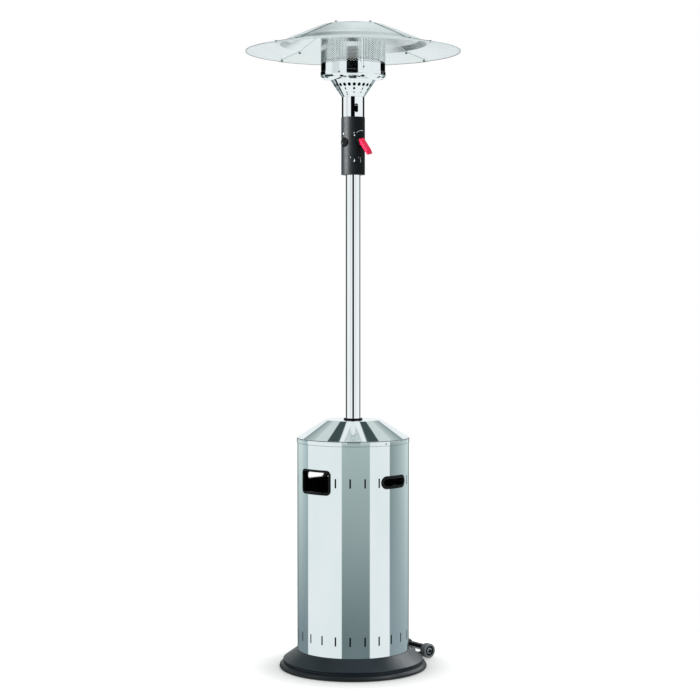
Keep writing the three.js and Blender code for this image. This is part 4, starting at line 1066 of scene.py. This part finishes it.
def build_cone():
    run, rise = CONE.top - TUBE.radius, CONE.rise - GAP
    across = CONE.wall * math.hypot(run, rise) / rise
    low, top = TUBE.top, TUBE.top + CONE.rise
    cone = lathe(rounded([
        (CONE.spigot_bore, low - CONE.spigot_depth), (CONE.spigot, low - CONE.spigot_depth),
        (CONE.spigot, low + GAP), (TUBE.radius, low + GAP, 0.4), (CONE.top, top, 0.3),
        (CONE.top - across, top), (CONE.bore, low + 6), (CONE.spigot_bore, low + 3),
    ], 4), ROUND.mirror)

    def radius_at(height):
        return TUBE.radius + run * (height - GAP) / rise

    cutters = []
    for count, radius, height in CONE_HOLES:
        hole = rod(radius, radius_at(height) - CONE_HOLE_REACH, radius_at(height) + CONE_HOLE_REACH)
        cutters += [moved(hole, outward(CONE.phase + 360 * i / count, low + height)) for i in range(count)]
    piece = add_piece("cone_spun", cone, "stand", STEEL, ["air_cone"], turned=True,
                      cutters=cutters)
    # The cone's inner faces get the near-black painted shade
    back_material(piece, INNER_PAINTED_SHADE, faces_inward)
    lean = Matrix.Rotation(math.radians(90) + math.atan2(run, rise), 4, "X")
    place = upright(CONE_SCREW.azimuth, radius_at(CONE_SCREW.height), low + CONE_SCREW.height) @ lean
    head = screw_head(CONE_SCREW.head, CONE_SCREW.seat, CONE_SCREW.head_height)
    add_piece("cone_screw", moved(head, place), "stand", FASTENER)


def build_burner_pan():
    inside, outside, low = PAN.rim_inside, PAN.rim_outside, PAN.low
    top = low + PAN.rim
    pan = spun([
        (PAN.bore, low), (PAN_DISH.edge, low), (PAN_DISH.radius + 0.8, PAN_DISH.low + 1.1),
        (PAN_DISH.radius, PAN_DISH.low), (PAN_DISH.edge, PAN_DISH.low + PAN_DISH.edge_height, 9),
        (outside, low + 0.6, 5), (outside, top, 0.35), (inside, top, 0.35), (inside, PAN.floor, 1.2),
        (PAN.bore, PAN.floor),
    ], ROUND.mirror)
    azimuths = [PAN_HOLES.phase + 360 * i / PAN_HOLES.count for i in range(PAN_HOLES.count)]
    hole = rod(PAN_HOLES.radius, -PAN_HOLES.below, PAN_HOLES.above, ROUND.small)
    holes = [moved(hole, upright(azimuth, PAN_HOLES.circle, low)) for azimuth in azimuths]
    add_piece("pan_spun", pan, "stand", STEEL, ["burner_pan"], turned=True, cutters=holes)
    head = screw_head(PAN_SCREWS.head, outside + PAN_SCREWS.seat, PAN_SCREWS.head_height)
    heads = [moved(head, outward(azimuth, top - PAN_SCREWS.drop)) for azimuth in PAN_SCREWS.azimuths]
    add_piece("pan_screws", joined(*heads), "stand", FASTENER)


def perforated_sheet():
    """The screen's wall as one skin: plain bands below and above a staggered field of round holes."""
    columns, rows, radius = PERFORATION.columns, PERFORATION.rows, SCREEN.radius
    half_row, half_width = PERFORATION.pitch / 2, math.pi * radius / columns
    index, verts, faces = {}, [], []

    def at(k, height):
        key = (k % (2 * columns), round(height, 4))
        if key not in index:
            index[key] = len(verts)
            verts.append(turn_point(radius, 180 * k / columns, height))
        return index[key]

    def hole(k, height, corners):
        start = len(verts)
        for i in range(8):
            angle = math.radians(225 + 45 * i)
            across = PERFORATION.hole * math.cos(angle) / half_width
            up = PERFORATION.hole * math.sin(angle)
            verts.append(turn_point(radius, 180 * (k + across) / columns, height + up))
        for i in range(8):
            n = (i + 1) % 8
            faces.append([corners[i], corners[n], start + n, start + i])

    low, top = PERFORATION.low, PERFORATION.low + 2 * rows * half_row
    for column in range(columns):
        k, shifted = 2 * column, column % 2
        for row in range(rows - shifted):
            foot = low + (2 * row + shifted) * half_row
            middle, head = foot + half_row, foot + 2 * half_row
            corners = [
                at(k, foot), at(k + 1, foot), at(k + 2, foot), at(k + 2, middle), at(k + 2, head),
                at(k + 1, head), at(k, head), at(k, middle),
            ]
            hole(k + 1, middle, corners)
        bands = [(SCREEN.low, low), (top, SCREEN.high)]
        if shifted:
            bands += [(low, low + half_row), (top - half_row, top)]
        for below, above in bands:
            for left in (k, k + 1):
                faces.append([at(left, below), at(left + 1, below), at(left + 1, above), at(left, above)])
    return verts, faces


def build_screen():
    sheet = to_mesh("emitter_sheet", perforated_sheet())
    offset = 1 if faces_inward(sheet.polygons[0]) else -1
    solid = modified(sheet, "SOLIDIFY", thickness=SCREEN.wall * MM, offset=offset)
    piece = add_piece("emitter_sheet", solid, "stand", STEEL, ["emitter_screen"], turned=True)
    # The screen's inner faces get the near-black painted shade
    back_material(piece, INNER_PAINTED_SHADE, faces_inward)
    outside = SCREEN.radius + SCREEN_SEAM.lift
    lap = tube_profile(SCREEN.radius + 0.1, outside, SCREEN_SEAM.low, SCREEN_SEAM.high, 0.1)
    seam = lathe(lap, 6, SCREEN_SEAM.start, SCREEN_SEAM.sweep)
    add_piece("emitter_seam", seam, "stand", STEEL, turned=True)
    line = lathe(lap, 2, SCREEN_SEAM.line, SCREEN_SEAM.line_sweep)
    head = screw_head(SCREEN_RIVET.head, outside, SCREEN_RIVET.head_height)
    rivet = moved(head, outward(SCREEN_RIVET.azimuth, SCREEN_RIVET.height))
    add_piece("emitter_rivet", joined(line, rivet), "stand", FASTENER)


def build_cap():
    inner = SCREEN.radius - SCREEN.wall - GAP
    lip, lip_low = inner - CAP.lip, CAP.low - CAP.lip_depth
    cap = spun([
        (0, CAP.low), (lip, CAP.low), (lip, lip_low), (inner, lip_low), (inner, CAP.low),
        (SCREEN.radius, CAP.low, 0.3), (SCREEN.radius, CAP.high, 0.9), (0, CAP.high),
    ], ROUND.large)
    add_piece("cap_spun", cap, "stand", STEEL, ["burner_cap"], turned=True)


# Reflector


def panel_section():
    """A panel's closed outline of (radius, height), with the hem curled at its rim."""
    upper = rounded(REFLECTOR_LINE, 10, closed=False)
    line = []
    for (r0, z0), (r1, z1) in zip(upper, upper[1:]):
        pieces = max(1, int((r1 - r0) / PANEL.longest_stretch))
        line += [(r0 + (r1 - r0) * k / pieces, z0 + (z1 - z0) * k / pieces) for k in range(pieces)]
    hem = PANEL.hem
    centre_radius, centre_height = upper[-1][0] - hem, upper[-1][1] - hem + CURL.lift
    curl = []
    for k in range(CURL.steps + 1):
        angle = math.radians(CURL.start - CURL.sweep * k / CURL.steps)
        curl.append((centre_radius + hem * math.cos(angle), centre_height + hem * math.sin(angle)))
    return [*line, *curl, *[(radius, height - PANEL.sheet) for radius, height in reversed(line)]]


def panel_shape():
    """A quarter of the reflector about the front, between its two straight seams."""
    section = panel_section()
    verts = []
    for j in range(PANEL.steps + 1):
        for radius, height in section:
            reach = 45 + math.degrees(math.asin(PANEL.overlap / radius))
            verts.append(turn_point(radius, (2 * j / PANEL.steps - 1) * reach, height))
    return verts, skin(len(section), PANEL.steps + 1)


def is_painted_shade_edge(polygon, is_upper):
    """Whether a face gets painted shade: an upper panel's cut side edge, or the inner side of the rim's hem.
    """
    flat = polygon.center.to_2d()
    sideways = abs(polygon.normal.x * flat.y - polygon.normal.y * flat.x) / flat.length
    outward_share = polygon.normal.to_2d().dot(flat) / flat.length
    rim = (REFLECTOR_LINE[-1][0] - 2 * PANEL.hem - 0.4) * MM
    is_hem = flat.length > rim and outward_share < 0.1 and polygon.normal.z < 0.6
    return is_hem or (is_upper and sideways > 0.8)


def seam_screw(azimuth, radius):
    """A small screw through both panels, with its head above and its nut below."""
    (r0, z0), (r1, z1) = REFLECTOR_LINE[-2][:2], REFLECTOR_LINE[-1]
    top = PANEL.upper + z0 + (z1 - z0) * (radius - r0) / (r1 - r0)
    slope = Matrix.Rotation(math.atan2(z0 - z1, r1 - r0), 4, "X")
    screw = joined(
        screw_head(SEAM_SCREW.head, 0.05, SEAM_SCREW.head_height),
        hexagon_nut(SEAM_SCREW.head, SEAM_SCREW.nut_low, SEAM_SCREW.nut_high),
        rod(SEAM_SCREW.shank, SEAM_SCREW.shank_low, 0.2),
    )
    return moved(screw, upright(azimuth, radius, top) @ slope)


def stud_holes(radius, azimuths, place):
    hole = rod(radius, -STUD_HOLES.reach, STUD_HOLES.reach)
    return [moved(hole, place @ upright(azimuth, STANDOFF.circle)) for azimuth in azimuths]


def build_panels():
    shape = panel_shape()
    for i, name in enumerate(("front", "right", "rear", "left")):
        is_upper = i % 2 == 1
        place = upright(90 * i, 0, PANEL.upper if is_upper else PANEL.lower)
        piece = add_piece(f"panel_{name}", moved(shape, place), "stand", ALUMINIUM,
                          [f"reflector_{name}"], turned=True, crease=40,
                          cutters=stud_holes(STUD_HOLES.panel, (-45, 45), place))
        # The hem's inner side and the upper panels' cut edges are dark grey: painted shade at the rim and the
        # seams
        back_material(piece, HEM_PAINTED_SHADE, lambda polygon, is_upper=is_upper: is_painted_shade_edge(polygon, is_upper))
    screws = [seam_screw(azimuth, radius) for azimuth in SEAM_AZIMUTHS for radius in SEAM_SCREW_RADII]
    add_piece("seam_screws", joined(*screws), "stand", FASTENER)


def build_crown():
    radius, low, high = CROWN_DISC.radius, CROWN_DISC.low, CROWN_DISC.high
    disc = spun([(0, low), (radius, low, 0.3), (radius, high, 0.3), (0, high)], ROUND.large, 3)
    add_piece("crown_plate", disc, "stand", ALUMINIUM, ["crown_disc"], turned=True,
              cutters=stud_holes(STUD_HOLES.disc, SEAM_AZIMUTHS, upright(0, 0, high)))


def build_standoffs():
    radius, low, shoulder, thread = STANDOFF.radius, STANDOFF.low, STANDOFF.shoulder, STANDOFF.thread
    body = spun([
        (0, low), (radius, low, 0.5), (radius, shoulder, 0.5), (thread, shoulder), (thread, STANDOFF.top, 1),
        (0, STANDOFF.top),
    ], ROUND.small, 3)
    nut = hexagon_nut(STANDOFF_NUT.radius, STANDOFF_NUT.low, STANDOFF_NUT.low + STANDOFF_NUT.height)
    for i, azimuth in enumerate(SEAM_AZIMUTHS, 1):
        place = upright(azimuth, STANDOFF.circle)
        add_piece(f"standoff_turned_{i}", moved(joined(body, nut), place), "stand", PLATED,
                  [f"standoff_{i}"])


# CAD nodes that stay: their faceted rounds and edges are softened in the shader


def soft_edged(material, name, radius):
    copy = material.copy()
    copy.name = name
    tree = copy.node_tree
    normal = tree.nodes["Principled BSDF"].inputs["Normal"]
    if normal.links:
        normal = normal.links[0].from_node.inputs["Normal"]
    tree.links.new(add_node(tree, "ShaderNodeBevel", {"Radius": radius * MM}).outputs[0], normal)
    return copy


def dress_cad_nodes():
    looks = (
        (soft_edged(PLATED, "plated_part", 0.6), ("pole_bracket", "jet_bracket", "pilot_bracket")),
        (soft_edged(BRASS, "brass_part", 0.6),
         ("gas_inlet", "gas_pipe", "gas_valve", "valve_spindle", "feed_pipe", "injector")),
        (soft_edged(IRON, "burner_iron", 0.8), ("burner_head", "mixing_tube")),
        (soft_edged(IRON, "ballast_iron", 1), ("ballast_plate",)),
        (soft_edged(EDGE, "bracket_paint", 1.2), ("wheel_bracket",)),
        (soft_edged(BLACK, "igniter_plastic", 0.6), ("igniter",)),
        (soft_edged(BLACK, "switch_plastic", 0.6), ("tilt_switch",)),
        (soft_edged(CERAMIC, "electrode_ceramic", 0.3), ("electrode",)),
    )
    for material, names in looks:
        for name in names:
            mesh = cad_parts[name].data
            mesh.materials.clear()
            mesh.materials.append(material)


# Stage: floor, studio, lamps and camera


def build_floor():
    edge = FLOOR.edge / MM
    mesh = to_mesh("floor", lathe([(0, -3), (edge, -3), (edge, -1), (0, -1)], ROUND.large))
    floor = bpy.data.objects.new("floor", mesh)
    scene.collection.objects.link(floor)
    finish = Finish("floor_white", tone(244, 241, 240), 0.9)
    finish.mottle(finish.noise(30, 3), tone(243, 240, 239), tone(245, 242, 241))
    surface = finish.shader.outputs[0]
    away, _ = finish.about_axis()
    light_path = finish.node("ShaderNodeLightPath")
    # For the camera the floor glows towards white, less near the base: a painted shade round the base, on top
    # of its real shadow
    glow_and_painted_shade = finish.spread(away, FLOOR_GLOW_AND_PAINTED_SHADE.near, FLOOR_GLOW_AND_PAINTED_SHADE.far, FLOOR_GLOW_AND_PAINTED_SHADE.start, FLOOR_GLOW_AND_PAINTED_SHADE.end)
    white = finish.node("ShaderNodeEmission", {"Color": (1, 0.97, 0.96, 1), "Strength": glow_and_painted_shade}).outputs[0]
    lifted = finish.node("ShaderNodeAddShader", {0: surface, 1: white}).outputs[0]
    inputs = {0: light_path.outputs["Is Camera Ray"], 1: surface, 2: lifted}
    shown = finish.node("ShaderNodeMixShader", inputs).outputs[0]
    unmirrored = calculate(finish.tree, "SUBTRACT", 1.0, light_path.outputs["Is Glossy Ray"])
    fade = finish.spread(away, 1, 0, FLOOR.fade_start, FLOOR.fade_end)
    share = calculate(finish.tree, "MULTIPLY", fade, unmirrored)
    clear = finish.node("ShaderNodeBsdfTransparent").outputs[0]
    mixed = finish.node("ShaderNodeMixShader", {0: share, 1: clear, 2: shown}).outputs[0]
    finish.tree.links.new(mixed, finish.tree.nodes["Material Output"].inputs["Surface"])
    mesh.materials.append(finish.material)


def build_world():
    """A white studio with grey and black cards, which the mirror-bright metal shows as its stripes."""
    world = bpy.data.worlds.new("studio")
    scene.world = world
    world.use_nodes = True
    tree = world.node_tree
    tree.nodes.clear()

    direction = add_node(tree, "ShaderNodeTexCoord").outputs["Generated"]
    x, y, z = add_node(tree, "ShaderNodeSeparateXYZ", {0: direction}).outputs
    turn = calculate(tree, "ARCTAN2", x, calculate(tree, "MULTIPLY", y, -1.0))
    share = calculate(tree, "ADD", calculate(tree, "DIVIDE", turn, 2 * math.pi), 0.5)
    elevation = calculate(tree, "MULTIPLY", calculate(tree, "ARCSINE", z), 180 / math.pi)

    def stripes(bands, inset=0.15):
        stops = []
        for start, end, *colours in bands:
            stops.append(((start + inset + 180) / 360, tone(*colours[0])))
            stops.append(((end - inset + 180) / 360, tone(*colours[-1])))
        return ramp(tree, share, stops)

    def blended(factor, below, above):
        return add_node(tree, "ShaderNodeMix", {0: factor, 6: below, 7: above}, data_type="RGBA").outputs[2]

    def layered(below, above, edge, width=0.3):
        """One picture below an elevation and another above it."""
        inputs = {"Value": elevation, "From Min": edge - width, "From Max": edge + width}
        return blended(add_node(tree, "ShaderNodeMapRange", inputs).outputs[0], below, above)

    def between(source, low, high):
        above = calculate(tree, "GREATER_THAN", source, low)
        return calculate(tree, "MULTIPLY", above, calculate(tree, "LESS_THAN", source, high))

    def with_card(behind, azimuths, elevations, colour):
        across, up = between(turn, *map(math.radians, azimuths)), between(elevation, *elevations)
        return blended(calculate(tree, "MULTIPLY", across, up), behind, tone(*colour))

    ground = add_node(tree, "ShaderNodeRGB").outputs[0]
    ground.default_value = tone(246, 250, 250)
    ground = with_card(with_card(ground, *FRONT_CARD), *LEFT_CARD)
    heights = [(height / 90, tone(*colour)) for height, colour in OVERHEAD_STOPS]
    overhead = ramp(tree, calculate(tree, "DIVIDE", elevation, 90.0), heights)
    away = calculate(tree, "ABSOLUTE", turn)
    is_rear = calculate(tree, "GREATER_THAN", away, math.radians(REAR_CARD.azimuth))
    is_low = calculate(tree, "LESS_THAN", elevation, REAR_CARD.top)
    overhead = blended(calculate(tree, "MULTIPLY", is_rear, is_low), overhead, tone(*REAR_CARD.colour))
    overhead = with_card(overhead, *DOME_CARD)
    room = layered(stripes(HOUSING_FOOT_BANDS), stripes(HOUSING_TOP_BANDS), LAYER_EDGES.housing, 3.3)
    room = layered(ground, room, LAYER_EDGES.ground, 2)
    room = layered(room, stripes(POLE_BANDS), LAYER_EDGES.pole)
    room = layered(room, stripes(HEAD_BANDS), LAYER_EDGES.head)
    room = layered(room, overhead, LAYER_EDGES.overhead)

    backdrop = add_node(tree, "ShaderNodeBackground", {"Color": (1, 1, 1, 1), "Strength": 1.0}).outputs[0]
    studio = add_node(tree, "ShaderNodeBackground", {"Color": room, "Strength": 1.0}).outputs[0]
    is_seen = add_node(tree, "ShaderNodeLightPath").outputs["Is Camera Ray"]
    mix = add_node(tree, "ShaderNodeMixShader", {0: is_seen, 1: studio, 2: backdrop}).outputs[0]
    add_node(tree, "ShaderNodeOutputWorld", {"Surface": mix})


def add_lamp(name, place, target, size, watts, lit):
    """A round soft lamp for the pieces whose names are given; the bright metal shows the studio alone."""
    data = bpy.data.lights.new(name, "AREA")
    data.shape = "DISK"
    data.size = size
    data.energy = watts
    lamp = bpy.data.objects.new(name, data)
    lamp.location = place
    lamp.rotation_euler = (Vector(target) - Vector(place)).to_track_quat("-Z", "Y").to_euler()
    scene.collection.objects.link(lamp)
    receivers = bpy.data.collections.new(f"lit_by_{name}")
    for piece in lit:
        receivers.objects.link(bpy.data.objects[piece])
    lamp.light_linking.receiver_collection = receivers


def build_camera():
    data = bpy.data.cameras.new("camera")
    data.lens = CAMERA.lens
    data.sensor_width = CAMERA.sensor
    data.sensor_fit = "HORIZONTAL"
    data.shift_y = CAMERA.shift
    camera = bpy.data.objects.new("camera", data)
    camera.location = CAMERA.place
    camera.rotation_euler = (math.radians(90 - CAMERA.tilt), 0, 0)
    scene.collection.objects.link(camera)
    scene.camera = camera


build_camera()
build_world()
build_floor()
build_edge_ring()
build_pan()
build_posts()
build_socket()
build_wheels()
build_axle()
build_shell()
build_strip()
for opening in HOUSING_OPENINGS:
    build_trim(*opening)
build_lid()
build_band()
build_collar()
build_pole()
build_head_tubes()
build_lever()
build_button()
build_marks()
build_cone()
build_burner_pan()
build_screen()
build_cap()
build_panels()
build_crown()
build_standoffs()
dress_cad_nodes()
for lamp_values in LAMPS:
    add_lamp(*lamp_values)

scene.view_settings.view_transform = "Standard"
